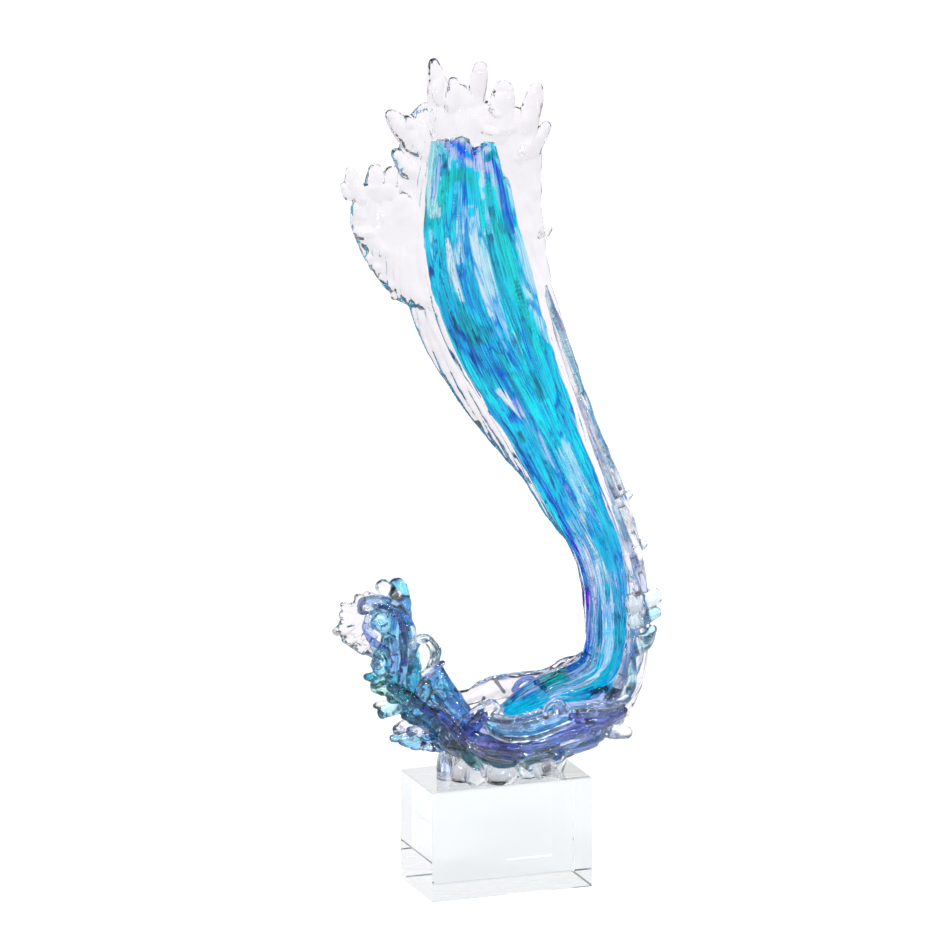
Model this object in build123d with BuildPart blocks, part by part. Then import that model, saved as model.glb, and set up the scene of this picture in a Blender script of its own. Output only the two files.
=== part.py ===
import os

from build123d import *

os.makedirs("parts", exist_ok=True)

# A breaking wave of hot-worked glass on a crystal plinth. Every size is in millimetres.
# The origin is at the middle of the plinth's underside. X runs along the wave towards its heel,
# Y to its back, Z up.

# Crystal plinth
plinth_length = 171
plinth_depth = 95
plinth_height = 114
plinth_bevel = 1.2

# Adhesive under the foot: its thickness, and its reach as shares of the plinth's length and depth
adhesive_thickness = 0.5
adhesive_reach_shares = (0.4, 0.4)

# The wave as a whole
wave_length = 345
wave_height = 750
wave_depth = 130

# Plume: a coloured core cased in clear glass
core_half_width = 53
core_half_thickness = 9
casing_half_width = 80
casing_half_thickness = 19

# Crown at the plume's top
finger_half_width = 10
finger_half_thickness = 9
crown_lobe_half_width = 17
crown_lobe_half_thickness = 9
dish_half_width = 19
dish_half_thickness = 14

# Splash at the plume's left
splash_half_width = 40
splash_half_thickness = 9
splash_lobe_half_width = 12
splash_lobe_half_thickness = 9
splash_drop_radius = 10

# Ridge along the plume's outer edge
ridge_radius = 12
ridge_bead_radius = 8

# Trough with its back wall and its lips
trough_half_depth = 56
trough_half_height = 27
hollow_half_depth = 44
hollow_half_height = 22
hollow_lift = 20
back_wall_half_height = 22
back_wall_half_thickness = 9
lip_radius = 8
lens_drop_radius = 8

# Breaking crest at the low end
stem_half_width = 21
stem_half_thickness = 20
tip_lobe_half_width = 9.5
tip_lobe_half_thickness = 9
flank_half_width = 14
flank_half_thickness = 16
hook_radius = 6
curl_radius = 5.5
arch_radius = 6
crest_bead_radius = 12
spray_half_width = 23
spray_half_thickness = 8
spray_bead_radius = 6
lump_radius = 10
frill_radius = 9

# Foot gathers between the plinth and the trough
foot_height = 30
foot_radius = 18

foot_level = plinth_height + adhesive_thickness
up = Vector(0, 0, 1)
to_back = Vector(0, 1, 0)

# How the photograph is read. The camera stands at the front left and a little above. A place is a
# column and a row of the photograph, with its depth behind the middle plane as a share of wave_depth.
# Along a sight line, each millimetre of depth goes aside and drops by these shares of it.
plinth_top_pixel = (496.6, 774)
wave_length_pixels = 324.3
wave_height_pixels = 722.7
level_climb_pixels = 31.5
sight_aside_share = 0.364
sight_drop_share = 0.295


def place(pixel, depth_share):
    """The point seen at a pixel, at a depth behind the wave's middle plane."""
    column, row = pixel
    x_share = (column - plinth_top_pixel[0]) / wave_length_pixels
    z_share = (plinth_top_pixel[1] - level_climb_pixels * x_share - row) / wave_height_pixels
    depth = wave_depth * depth_share
    return Vector(
        wave_length * x_share + sight_aside_share * depth,
        depth,
        foot_level + wave_height * z_share - sight_drop_share * depth,
    )


def section_planes(points, facing):
    """Planes square to a run of points, each with its X axis across the run and square to facing."""
    planes = []
    for i, point in enumerate(points):
        before = points[max(i - 1, 0)]
        after = points[min(i + 1, len(points) - 1)]
        along = after - before
        planes.append(Plane(origin=point, x_dir=along.cross(facing), z_dir=along))
    return planes


# How a gather's blunt ends close: steps as shares of its thinner half size, and what is left there
end_steps_shares = (0.5, 0.35)
end_sizes_shares = (0.8, 0.4)


def rounded_ends(points, sizes):
    """Adds two narrowing sections past each end of a run, so that the gather ends round."""
    for _ in range(2):
        away = (points[0] - points[1]).normalized()
        point, size = points[0], sizes[0]
        for step_share, size_share in zip(end_steps_shares, end_sizes_shares):
            point = point + away * (min(size) * step_share)
            points = [point] + points
            sizes = [tuple(half * size_share for half in size)] + sizes
        points.reverse()
        sizes.reverse()
    return points, sizes


pieces = {}
boxes = {}


def laid_on(part):
    """The finished pieces whose boxes meet a new part's box."""
    box = part.bounding_box()
    found = []
    for label, near in boxes.items():
        apart_x = box.min.X > near.max.X or near.min.X > box.max.X
        apart_y = box.min.Y > near.max.Y or near.min.Y > box.max.Y
        apart_z = box.min.Z > near.max.Z or near.min.Z > box.max.Z
        if not (apart_x or apart_y or apart_z):
            found.append(pieces[label])
    return found


def finish(part, label):
    """Keeps a piece's main solid, labels it and writes its file."""
    piece = part.solids().sort_by(SortBy.VOLUME)[-1]
    piece.label = label
    pieces[label] = piece
    boxes[label] = piece.bounding_box()
    export_step(piece, f"parts/{label}.step")


def draw_gather(label, pixels, shares, half_width, half_thickness):
    """A gather drawn along a run of places, cut by the glass that it was laid on.

    Each row of shares gives its depth behind the middle plane, its width and its thickness.
    """
    points = [place(pixel, row[0]) for pixel, row in zip(pixels, shares)]
    sizes = [(half_width * row[1], half_thickness * row[2]) for row in shares]
    points, sizes = rounded_ends(points, sizes)
    with BuildPart() as gather:
        for plane, (width, thickness) in zip(section_planes(points, to_back), sizes):
            with BuildSketch(plane):
                Ellipse(width, thickness)
        loft()
        for older in laid_on(gather.part):
            add(older, mode=Mode.SUBTRACT)
    finish(gather.part, label)


def draw_bead(label, pixels, shares, radius):
    """A round bead pulled from a base to a tip, cut by the glass that it was pulled from.

    The shares give the depths of the base and of the tip, then their radii.
    """
    base = place(pixels[0], shares[0])
    tip = place(pixels[1], shares[1])
    base_radius = radius * shares[2]
    tip_radius = radius * shares[3]
    along = tip - base
    with BuildPart() as bead:
        with BuildSketch(Plane(origin=base, x_dir=along, z_dir=along.cross(to_back))):
            with BuildLine():
                CenterArc((0, 0), base_radius, 90, 90)
                Line((0, base_radius), (along.length, tip_radius))
                CenterArc((along.length, 0), tip_radius, 0, 90)
                Line((along.length + tip_radius, 0), (-base_radius, 0))
            make_face()
        revolve(axis=Axis(base, along))
        for older in laid_on(bead.part):
            add(older, mode=Mode.SUBTRACT)
    finish(bead.part, label)


# Crystal plinth
with BuildPart() as crystal_plinth:
    with BuildSketch(Plane.XY):
        Rectangle(plinth_length, plinth_depth)
    extrude(amount=plinth_height)
    chamfer(crystal_plinth.edges(), length=plinth_bevel)
finish(crystal_plinth.part, "crystal_plinth")

# Adhesive between the plinth and the foot
with BuildPart() as adhesive_film:
    with BuildSketch(Plane.XY.offset(plinth_height)):
        Ellipse(plinth_length * adhesive_reach_shares[0], plinth_depth * adhesive_reach_shares[1])
    extrude(amount=adhesive_thickness)
finish(adhesive_film.part, "adhesive_film")

# Coloured core of the plume, from its tongue in the trough to the crown
core_pixels = (
    (512, 713), (546, 697), (578, 678), (599, 652), (607, 620), (605, 585), (593, 545), (576, 508),
    (553, 462), (530, 420), (508, 375), (489, 325), (477, 275), (469, 225), (465, 180), (463, 152),
)
core_shares = (
    (0.06, 0.28, 0.7), (0.09, 0.42, 0.9), (0.1, 0.5, 1.1), (0.08, 0.48, 1.3),
    (0.04, 0.46, 1.3), (0.0, 0.47, 1.2), (-0.03, 0.5, 1.1), (-0.05, 0.57, 1.0),
    (-0.06, 0.68, 1.0), (-0.07, 0.78, 1.0), (-0.08, 0.92, 1.0), (-0.09, 1.0, 1.0),
    (-0.1, 1.0, 1.0), (-0.11, 0.96, 0.95), (-0.12, 0.86, 0.85), (-0.13, 0.74, 0.7),
)
draw_gather("plume_core", core_pixels, core_shares, core_half_width, core_half_thickness)

# Clear casing around the core, from the heel to the crown's edge
casing_pixels = (
    (606, 706), (616, 672), (617, 640), (613, 605), (606, 570), (594, 530), (577, 490), (556, 450),
    (527, 400), (503, 350), (481, 300), (470, 250), (465, 200), (467, 150), (470, 112),
)
casing_shares = (
    (0.06, 0.36, 1.0), (0.06, 0.42, 1.05), (0.04, 0.42, 1.05), (0.02, 0.41, 1.0),
    (-0.01, 0.42, 1.0), (-0.04, 0.47, 0.95), (-0.05, 0.54, 0.9), (-0.06, 0.58, 0.9),
    (-0.07, 0.73, 0.85), (-0.08, 0.86, 0.85), (-0.09, 0.95, 0.8), (-0.1, 0.99, 0.8),
    (-0.11, 1.0, 0.75), (-0.12, 0.98, 0.7), (-0.13, 0.88, 0.6),
)
draw_gather("plume_casing", casing_pixels, casing_shares, casing_half_width, casing_half_thickness)

# Fingers thrown up at the crown, each from its root to its tip
crown_finger_pixels = (
    ((441, 120), (437, 94), (433, 65)),
    ((474, 112), (475, 90), (477, 71)),
    ((499, 118), (502, 105), (504, 93)),
    ((524, 128), (530, 106), (534, 87)),
    ((526, 148), (537, 135), (544, 125)),
    ((408, 136), (397, 126), (387, 116)),
)
crown_finger_shares = (
    ((-0.13, 1.45, 1.2), (-0.15, 1.1, 1.0), (-0.17, 0.75, 0.8)),
    ((-0.12, 1.2, 1.1), (-0.11, 0.95, 0.9), (-0.1, 0.8, 0.8)),
    ((-0.13, 1.3, 1.3), (-0.16, 1.3, 1.3), (-0.17, 1.1, 1.1)),
    ((-0.13, 1.25, 1.1), (-0.13, 1.0, 0.95), (-0.12, 0.75, 0.8)),
    ((-0.11, 1.0, 0.9), (-0.12, 0.8, 0.8), (-0.13, 0.65, 0.7)),
    ((-0.12, 1.3, 0.9), (-0.13, 1.0, 0.85), (-0.13, 0.8, 0.75)),
)
for number, (run, run_shares) in enumerate(zip(crown_finger_pixels, crown_finger_shares), start=1):
    draw_gather(f"crown_finger_{number}", run, run_shares, finger_half_width, finger_half_thickness)

# Flat lobes between the crown's fingers, and the flat drop under the middle finger
crown_lobe_pixels = {
    "crown_lobe_left": ((427, 150), (423, 133), (419, 119)),
    "crown_lobe_right": ((462, 122), (462, 106), (461, 88)),
}
crown_lobe_shares = ((-0.12, 0.9, 1.0), (-0.14, 1.0, 1.0), (-0.15, 0.8, 0.8))
for label, run in crown_lobe_pixels.items():
    draw_gather(label, run, crown_lobe_shares, crown_lobe_half_width, crown_lobe_half_thickness)

dish_pixels = ((503, 130), (502, 121), (502, 114))
dish_shares = ((-0.15, 0.85, 1.0), (-0.16, 1.0, 1.2), (-0.17, 0.8, 1.0))
draw_gather("crown_dish", dish_pixels, dish_shares, dish_half_width, dish_half_thickness)

# Sheet splashed off the plume's left edge, with its lobes and its drop
splash_pixels = ((424, 300), (407, 262), (386, 226), (368, 196), (356, 179))
splash_shares = (
    (-0.08, 0.6, 1.2), (-0.07, 0.92, 1.1), (-0.05, 1.0, 1.0), (-0.02, 0.8, 0.9), (0.0, 0.6, 0.8),
)
draw_gather("splash_sheet", splash_pixels, splash_shares, splash_half_width, splash_half_thickness)

splash_lobe_pixels = {
    "splash_tip": ((360, 196), (349, 180), (344, 169)),
    "splash_upper_lobe": ((376, 198), (372, 182), (371, 169)),
    "splash_lower_lobe": ((383, 250), (369, 238), (358, 229)),
    "splash_side_bump": ((410, 170), (400, 160), (393, 152)),
}
splash_lobe_shares = {
    "splash_tip": ((0.0, 1.0, 0.7), (0.01, 0.8, 0.65), (0.02, 0.55, 0.55)),
    "splash_upper_lobe": ((-0.04, 1.0, 0.8), (-0.05, 0.95, 0.9), (-0.06, 0.9, 0.9)),
    "splash_lower_lobe": ((-0.05, 1.1, 0.9), (-0.07, 1.1, 0.9), (-0.08, 0.8, 0.8)),
    "splash_side_bump": ((-0.11, 1.0, 0.9), (-0.12, 0.8, 0.8), (-0.13, 0.65, 0.7)),
}
for label, run in splash_lobe_pixels.items():
    run_shares = splash_lobe_shares[label]
    draw_gather(label, run, run_shares, splash_lobe_half_width, splash_lobe_half_thickness)

splash_drop_pixels = ((388, 184), (389, 172))
splash_drop_shares = (-0.07, -0.09, 1.0, 0.85)
draw_bead("splash_drop", splash_drop_pixels, splash_drop_shares, splash_drop_radius)

# Rope of glass laid along the plume's outer edge, with its beads
ridge_pixels = (
    (612, 712), (627, 680), (636, 640), (638, 600), (634, 560), (626, 520),
    (615, 483), (602, 445), (588, 405), (576, 365), (563, 325), (554, 296),
)
ridge_shares = (
    (-0.1, 0.95, 0.95), (-0.08, 1.0, 1.0), (-0.06, 1.0, 1.0), (-0.07, 1.0, 1.0),
    (-0.09, 0.92, 0.92), (-0.11, 0.85, 0.85), (-0.12, 0.77, 0.77), (-0.12, 0.7, 0.7),
    (-0.12, 0.65, 0.65), (-0.13, 0.6, 0.6), (-0.13, 0.55, 0.55), (-0.13, 0.5, 0.5),
)
draw_gather("ridge_rope", ridge_pixels, ridge_shares, ridge_radius, ridge_radius)

ridge_bead_pixels = {
    "ridge_bead_lower": ((640, 640), (651, 633)),
    "ridge_bead_middle": ((640, 606), (653, 600)),
    "ridge_bead_upper": ((633, 549), (643, 545)),
    "ridge_drop": ((529, 238), (544, 231)),
}
ridge_bead_shares = {
    "ridge_bead_lower": (-0.1, -0.12, 1.0, 0.8),
    "ridge_bead_middle": (-0.08, -0.08, 1.1, 0.9),
    "ridge_bead_upper": (-0.11, -0.12, 0.9, 0.7),
    "ridge_drop": (-0.11, -0.1, 0.9, 0.75),
}
for label, run in ridge_bead_pixels.items():
    draw_bead(label, run, ridge_bead_shares[label], ridge_bead_radius)

# Trough under the plume's heel: a boat with a hollow in it
trough_pixels = (
    (424, 700), (444, 724), (478, 735), (515, 736), (553, 729), (587, 714), (613, 692),
)
trough_shares = (
    (0.0, 0.5, 0.75), (0.0, 0.8, 0.95), (0.0, 0.97, 1.0), (0.0, 1.0, 1.0),
    (0.0, 0.95, 1.05), (0.0, 0.8, 1.1), (0.0, 0.55, 1.0),
)
hollow_pixels = ((455, 722), (482, 731), (515, 734), (550, 728), (580, 716))
hollow_shares = (
    (0.0, 0.6, 0.7), (0.0, 0.95, 0.95), (0.0, 1.0, 1.0), (0.0, 0.95, 1.0), (0.0, 0.65, 0.8),
)


def trough_sections(pixels, shares, half_depth, half_height, lift):
    """Section planes along the trough, square to it, with their half sizes."""
    points = [place(pixel, row[0]) + up * lift for pixel, row in zip(pixels, shares)]
    sizes = [(half_depth * row[1], half_height * row[2]) for row in shares]
    points, sizes = rounded_ends(points, sizes)
    return zip(section_planes(points, up), sizes)


with BuildPart() as trough_hollow:
    for plane, (depth, height) in trough_sections(
        hollow_pixels, hollow_shares, hollow_half_depth, hollow_half_height, hollow_lift
    ):
        with BuildSketch(plane):
            Ellipse(depth, height)
    loft()

with BuildPart() as trough_bowl:
    for plane, (depth, height) in trough_sections(
        trough_pixels, trough_shares, trough_half_depth, trough_half_height, 0
    ):
        with BuildSketch(plane):
            Ellipse(depth, height)
    loft()
    add(trough_hollow.part, mode=Mode.SUBTRACT)
    for older in laid_on(trough_bowl.part):
        add(older, mode=Mode.SUBTRACT)
finish(trough_bowl.part, "trough_bowl")

# Clear wall that stands along the trough's back edge
back_wall_pixels = ((448, 702), (474, 692), (508, 682), (540, 677), (568, 672), (592, 664))
back_wall_shares = (
    (0.38, 0.55, 0.9), (0.42, 0.85, 1.0), (0.43, 1.0, 1.0),
    (0.41, 0.95, 1.0), (0.35, 0.75, 1.0), (0.26, 0.5, 0.9),
)
draw_gather(
    "back_wall", back_wall_pixels, back_wall_shares, back_wall_half_height, back_wall_half_thickness
)

# Ropes laid along the trough's front edge, and the drop at their end
lip_pixels = {
    "lip_rope_upper": ((630, 700), (592, 712), (562, 717), (530, 722), (500, 722), (478, 716)),
    "lip_rope_violet": ((630, 716), (592, 733), (552, 743), (510, 745), (472, 737), (448, 720)),
    "lip_rope_clear": ((602, 722), (566, 731), (532, 734), (500, 731)),
    "lip_ribbon_navy": ((470, 742), (446, 728), (426, 710), (414, 690)),
}
lip_shares = {
    "lip_rope_upper": (
        (-0.3, 0.8, 0.8), (-0.36, 1.0, 1.0), (-0.38, 1.0, 1.0),
        (-0.38, 1.0, 1.0), (-0.36, 1.0, 1.0), (-0.32, 0.9, 0.9),
    ),
    "lip_rope_violet": (
        (-0.25, 0.8, 0.9), (-0.35, 1.0, 1.1), (-0.4, 1.1, 1.2),
        (-0.4, 1.1, 1.2), (-0.35, 1.0, 1.0), (-0.28, 0.9, 0.9),
    ),
    "lip_rope_clear": ((-0.42, 0.6, 0.6), (-0.45, 0.75, 0.75), (-0.46, 0.75, 0.75), (-0.44, 0.6, 0.6)),
    "lip_ribbon_navy": ((-0.34, 0.8, 0.8), (-0.3, 1.0, 0.9), (-0.24, 1.0, 0.9), (-0.17, 0.8, 0.8)),
}
for label, run in lip_pixels.items():
    draw_gather(label, run, lip_shares[label], lip_radius, lip_radius)

lens_drop_pixels = ((608, 733), (626, 735))
lens_drop_shares = (-0.33, -0.34, 1.1, 0.85)
draw_bead("lens_drop", lens_drop_pixels, lens_drop_shares, lens_drop_radius)

# Stem of the breaking crest, with the lobes at its tip
stem_pixels = ((452, 728), (428, 706), (405, 682), (394, 653), (397, 624), (402, 602))
stem_shares = (
    (-0.02, 1.0, 1.3), (-0.03, 1.05, 1.3), (-0.04, 1.0, 1.1),
    (-0.05, 0.82, 0.9), (-0.05, 0.62, 0.7), (-0.05, 0.5, 0.55),
)
draw_gather("crest_stem", stem_pixels, stem_shares, stem_half_width, stem_half_thickness)

tip_lobe_pixels = {
    "crest_tip_lobe": ((403, 618), (402, 604), (399, 594)),
    "crest_clear_lobe": ((402, 604), (392, 595), (384, 587)),
}
tip_lobe_shares = {
    "crest_tip_lobe": ((-0.05, 1.0, 1.0), (-0.04, 1.0, 1.0), (-0.03, 0.8, 0.8)),
    "crest_clear_lobe": ((-0.09, 0.8, 0.8), (-0.1, 1.0, 1.0), (-0.1, 0.85, 0.85)),
}
for label, run in tip_lobe_pixels.items():
    draw_gather(label, run, tip_lobe_shares[label], tip_lobe_half_width, tip_lobe_half_thickness)

# Blue flank in front of the stem, the hook and the arch thrown off it, and the bead between them
flank_pixels = ((468, 728), (454, 708), (444, 690), (438, 674))
flank_shares = ((-0.2, 1.0, 1.0), (-0.19, 1.0, 1.0), (-0.17, 0.85, 0.9), (-0.15, 0.6, 0.7))
draw_gather("crest_flank", flank_pixels, flank_shares, flank_half_width, flank_half_thickness)

hook_pixels = ((405, 616), (399, 603), (388, 598), (376, 602), (368, 612))
hook_shares = (
    (-0.1, 0.9, 0.9), (-0.13, 1.0, 1.0), (-0.15, 1.0, 1.0), (-0.15, 0.95, 0.95), (-0.13, 0.8, 0.8),
)
draw_gather("crest_hook", hook_pixels, hook_shares, hook_radius, hook_radius)

arch_pixels = ((412, 674), (411, 655), (422, 642), (434, 649), (439, 668))
arch_shares = (
    (-0.16, 1.0, 1.0), (-0.2, 1.0, 1.0), (-0.22, 1.0, 1.0), (-0.22, 1.0, 1.0), (-0.18, 1.0, 1.0),
)
draw_gather("crest_arch", arch_pixels, arch_shares, arch_radius, arch_radius)

crest_bead_pixels = ((421, 686), (421, 670))
crest_bead_shares = (-0.2, -0.22, 1.0, 0.9)
draw_bead("crest_bead", crest_bead_pixels, crest_bead_shares, crest_bead_radius)

# Two curls at the stem's left: their centres, how far out they run, and their turns in degrees,
# anticlockwise from the right
curl_steps = 8
curl_across_pixels = 11
curl_centre_pixels = {"crest_curl_upper": (379, 621), "crest_curl_lower": (378, 661)}
curl_turns = {"crest_curl_upper": (-10, 290), "crest_curl_lower": (20, 290)}
curl_shares = {"crest_curl_upper": (-0.13, 1.0, 1.0), "crest_curl_lower": (-0.14, 0.95, 0.95)}
for label, centre in curl_centre_pixels.items():
    start_angle, turn = curl_turns[label]
    curl_pixels = []
    for step in range(curl_steps + 1):
        spoke = Vector(curl_across_pixels, 0).rotate(Axis.Z, start_angle + turn * step / curl_steps)
        curl_pixels.append((centre[0] + spoke.X, centre[1] - spoke.Y))
    draw_gather(label, curl_pixels, [curl_shares[label]] * (curl_steps + 1), curl_radius, curl_radius)

# Clear spray thrown out at the left, with its beads
spray_pixels = ((392, 648), (372, 638), (354, 626), (343, 616))
spray_shares = ((0.0, 0.6, 1.3), (0.02, 0.9, 1.1), (0.03, 1.05, 1.0), (0.04, 0.8, 0.8))
draw_gather("crest_spray", spray_pixels, spray_shares, spray_half_width, spray_half_thickness)

spray_bead_pixels = {
    "spray_bead_left": ((348, 625), (337, 630)),
    "spray_bead_upper": ((354, 611), (347, 600)),
    "spray_bead_lower": ((357, 636), (346, 653)),
}
spray_bead_shares = {
    "spray_bead_left": (0.02, 0.0, 1.1, 0.9),
    "spray_bead_upper": (0.03, 0.02, 1.1, 0.9),
    "spray_bead_lower": (0.02, 0.0, 1.1, 1.0),
}
for label, run in spray_bead_pixels.items():
    draw_bead(label, run, spray_bead_shares[label], spray_bead_radius)

# Teal lumps down the stem's left, and the frill under the trough's low end
lump_pixels = {
    "crest_lump_upper": ((394, 678), (376, 680)),
    "crest_lump_lower": ((400, 694), (383, 694)),
}
lump_shares = {
    "crest_lump_upper": (-0.1, -0.13, 1.0, 0.9),
    "crest_lump_lower": (-0.06, -0.06, 1.0, 0.9),
}
for label, run in lump_pixels.items():
    draw_bead(label, run, lump_shares[label], lump_radius)

frill_pixels = (
    ((414, 706), (388, 709)),
    ((424, 716), (396, 724)),
    ((426, 722), (399, 740)),
    ((436, 730), (414, 746)),
    ((446, 738), (433, 751)),
)
frill_shares = (
    (-0.05, -0.1, 1.1, 0.8),
    (0.0, 0.05, 1.1, 0.8),
    (-0.08, -0.1, 1.1, 0.7),
    (-0.14, -0.16, 1.1, 0.8),
    (-0.04, -0.02, 1.1, 0.8),
)
for number, (run, run_shares) in enumerate(zip(frill_pixels, frill_shares), start=1):
    draw_bead(f"crest_frill_{number}", run, run_shares, frill_radius)

# Foot gathers: places along and across the plinth, then widths and heights
foot_shares = (
    (-0.27, 0.0, 0.9, 1.45),
    (-0.19, -0.17, 0.9, 1.2),
    (-0.07, -0.22, 1.0, 1.0),
    (0.06, -0.22, 1.05, 1.0),
    (0.19, -0.16, 0.95, 1.0),
    (0.3, -0.03, 0.9, 1.0),
    (-0.12, 0.15, 1.15, 1.1),
    (0.13, 0.16, 1.15, 1.0),
)
# A foot gather's levels and widths, from its base up
foot_level_shares = ((0, 0.9), (0.25, 1.08), (0.6, 1.0), (1, 0.6))
for number, (along_share, behind_share, width_share, tall_share) in enumerate(foot_shares, start=1):
    foot_base = Vector(plinth_length * along_share, plinth_depth * behind_share, foot_level)
    with BuildPart() as foot_gather:
        for level_share, swell_share in foot_level_shares:
            rise = foot_height * tall_share * level_share
            with BuildSketch(Plane(foot_base + up * rise)):
                Circle(foot_radius * width_share * swell_share)
        loft()
        for older in laid_on(foot_gather.part):
            add(older, mode=Mode.SUBTRACT)
    finish(foot_gather.part, f"foot_gather_{number}")
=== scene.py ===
import math

import bpy
import numpy as np
from mathutils import Matrix, Vector


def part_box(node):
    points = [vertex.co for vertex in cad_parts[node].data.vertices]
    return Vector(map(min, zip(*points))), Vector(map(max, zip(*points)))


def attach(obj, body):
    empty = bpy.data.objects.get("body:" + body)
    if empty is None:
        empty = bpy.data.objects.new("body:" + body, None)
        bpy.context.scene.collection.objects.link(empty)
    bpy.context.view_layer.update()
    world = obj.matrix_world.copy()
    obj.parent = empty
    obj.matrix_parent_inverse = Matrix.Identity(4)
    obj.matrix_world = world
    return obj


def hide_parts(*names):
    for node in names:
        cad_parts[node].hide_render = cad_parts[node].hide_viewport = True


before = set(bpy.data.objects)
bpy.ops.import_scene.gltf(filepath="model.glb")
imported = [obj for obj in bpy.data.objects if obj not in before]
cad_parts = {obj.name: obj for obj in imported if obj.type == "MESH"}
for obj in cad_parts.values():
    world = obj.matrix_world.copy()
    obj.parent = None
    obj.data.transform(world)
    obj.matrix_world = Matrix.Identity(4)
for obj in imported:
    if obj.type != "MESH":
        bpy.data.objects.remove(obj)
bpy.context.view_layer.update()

# A breaking wave of clear and coloured hot-worked glass on a crystal plinth.
# Places are read off the photograph: column, row, and depth in millimetres behind the middle plane.

mm = 0.001

photograph = {
    "side": 950,  # pixels
    "pixel": 1.0 * mm,  # real size of a pixel at the object
    "origin": (496.6, 883.9),  # where the middle of the plinth's underside is seen
    "azimuth": -20.0,
    "elevation": 15.5,
    "lens": 1000.0,  # mm on a 36 mm sensor: the view is nearly parallel
    "sensor": 36.0,
}

turn = math.radians(photograph["azimuth"])
climb = math.radians(photograph["elevation"])
seenRight = Vector((math.cos(turn), math.sin(turn), 0))
seenAway = Vector((-math.sin(turn) * math.cos(climb), math.cos(turn) * math.cos(climb), -math.sin(climb)))
seenUp = seenRight.cross(seenAway)


def place(column, row, depth):
    # The point seen at a pixel, at a depth in mm behind the middle plane
    y = depth * mm
    right = (column - photograph["origin"][0]) * photograph["pixel"]
    up = (photograph["origin"][1] - row) * photograph["pixel"]
    x = (right - seenRight.y * y) / seenRight.x
    z = (up - seenUp.x * x - seenUp.y * y) / seenUp.z
    return Vector((x, y, z))


def seen(points):
    # Where points are seen in the photograph, as columns and rows
    return np.stack((
        points @ np.array(seenRight) / photograph["pixel"] + photograph["origin"][0],
        photograph["origin"][1] - points @ np.array(seenUp) / photograph["pixel"],
    ), 1)


def addCamera():
    middle = photograph["side"] / 2
    target = place(middle, middle, 0)
    width = photograph["side"] * photograph["pixel"]
    data = bpy.data.cameras.new("camera")
    data.lens = photograph["lens"]
    data.sensor_width = photograph["sensor"]
    data.clip_end = 100
    camera = bpy.data.objects.new("camera", data)
    bpy.context.scene.collection.objects.link(camera)
    away = width * photograph["lens"] / photograph["sensor"]
    axes = Matrix((seenRight, seenUp, -seenAway)).transposed()
    camera.matrix_world = Matrix.Translation(target - seenAway * away) @ axes.to_4x4()
    bpy.context.scene.camera = camera


# Smooth curves and noise


def distances(points):
    # How far along its line each point lies
    return np.concatenate(([0], np.cumsum(np.linalg.norm(np.diff(points, axis=0), axis=1))))


def unit(vectors):
    return vectors / np.linalg.norm(vectors, axis=1)[:, None]


def axesAlong(centre):
    # Unit vectors along a line, across it as seen from the front, and through it
    along = unit(np.gradient(centre, axis=0))
    across = unit(np.cross(along, (0, 1, 0)))
    return along, across, np.cross(across, along)


def smoothRun(stations, count):
    # An even run of rows along a smooth curve through the stations, however many values each has
    knots = np.asarray(stations, float)
    at = distances(knots[:, :3])
    slopes = np.gradient(knots, at, axis=0)
    t = np.linspace(0, at[-1], count)
    i = np.clip(np.searchsorted(at, t) - 1, 0, len(at) - 2)
    h = (at[i + 1] - at[i])[:, None]
    f = ((t - at[i])[:, None]) / h
    return (
        (2 * f**3 - 3 * f**2 + 1) * knots[i]
        + (f**3 - 2 * f**2 + f) * h * slopes[i]
        + (3 * f**2 - 2 * f**3) * knots[i + 1]
        + (f**3 - f**2) * h * slopes[i + 1]
    )


thinnest = 0.3 * mm  # the least half width of any strand


def placedRun(stations, spacing):
    # An even run in metres. A station is column, row, depth, half width and, if it differs, half thickness.
    rows = [[*place(*station[:3]), station[3] * mm, station[-1] * mm] for station in stations]
    length = sum((Vector(a[:3]) - Vector(b[:3])).length for a, b in zip(rows, rows[1:]))
    run = smoothRun(rows, max(4, int(length / (spacing * mm))))
    run[:, 3:] = np.maximum(run[:, 3:], thinnest)
    return run


cells = 64  # after which the noise repeats


def waves(x, y, seed):
    # Smooth noise between about -1 and 1, one cell to each unit
    grid = np.random.default_rng(seed).uniform(-1, 1, (cells, cells))
    i, j = np.floor(x).astype(int), np.floor(y).astype(int)
    f, g = (t * t * (3 - 2 * t) for t in (x - i, y - j))
    a, b, c, d = (grid[(i + across) % cells, (j + along) % cells] for along in (0, 1) for across in (0, 1))
    return (a * (1 - f) + b * f) * (1 - g) + (c * (1 - f) + d * f) * g


def lobes(x, y, seed):
    # Rounded lobes side by side, one to each unit: height, 0 in the creases, and a number for each lobe
    grid = np.random.default_rng(seed).uniform(0, 1, (cells, cells, 3))
    i, j = np.floor(x).astype(int), np.floor(y).astype(int)
    first = np.full(x.shape, np.inf)
    second = first.copy()
    number = np.zeros(x.shape)
    for across in (-1, 0, 1):
        for along in (-1, 0, 1):
            spot = grid[(i + across) % cells, (j + along) % cells]
            away = np.hypot(i + across + spot[:, 0] - x, j + along + spot[:, 1] - y)
            number = np.where(away < first, spot[:, 2], number)
            second = np.minimum(second, np.maximum(away, first))
            first = np.minimum(first, away)
    return 1 - (1 - np.clip(second - first, 0, 1)) ** 2.5, number


# Shapes


capAngles = np.radians((80, 60, 40, 20))  # rings of a rounded end, from its tip inwards
capSpare = 0.03  # share added to each ring, so that the tip isn't a point


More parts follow.
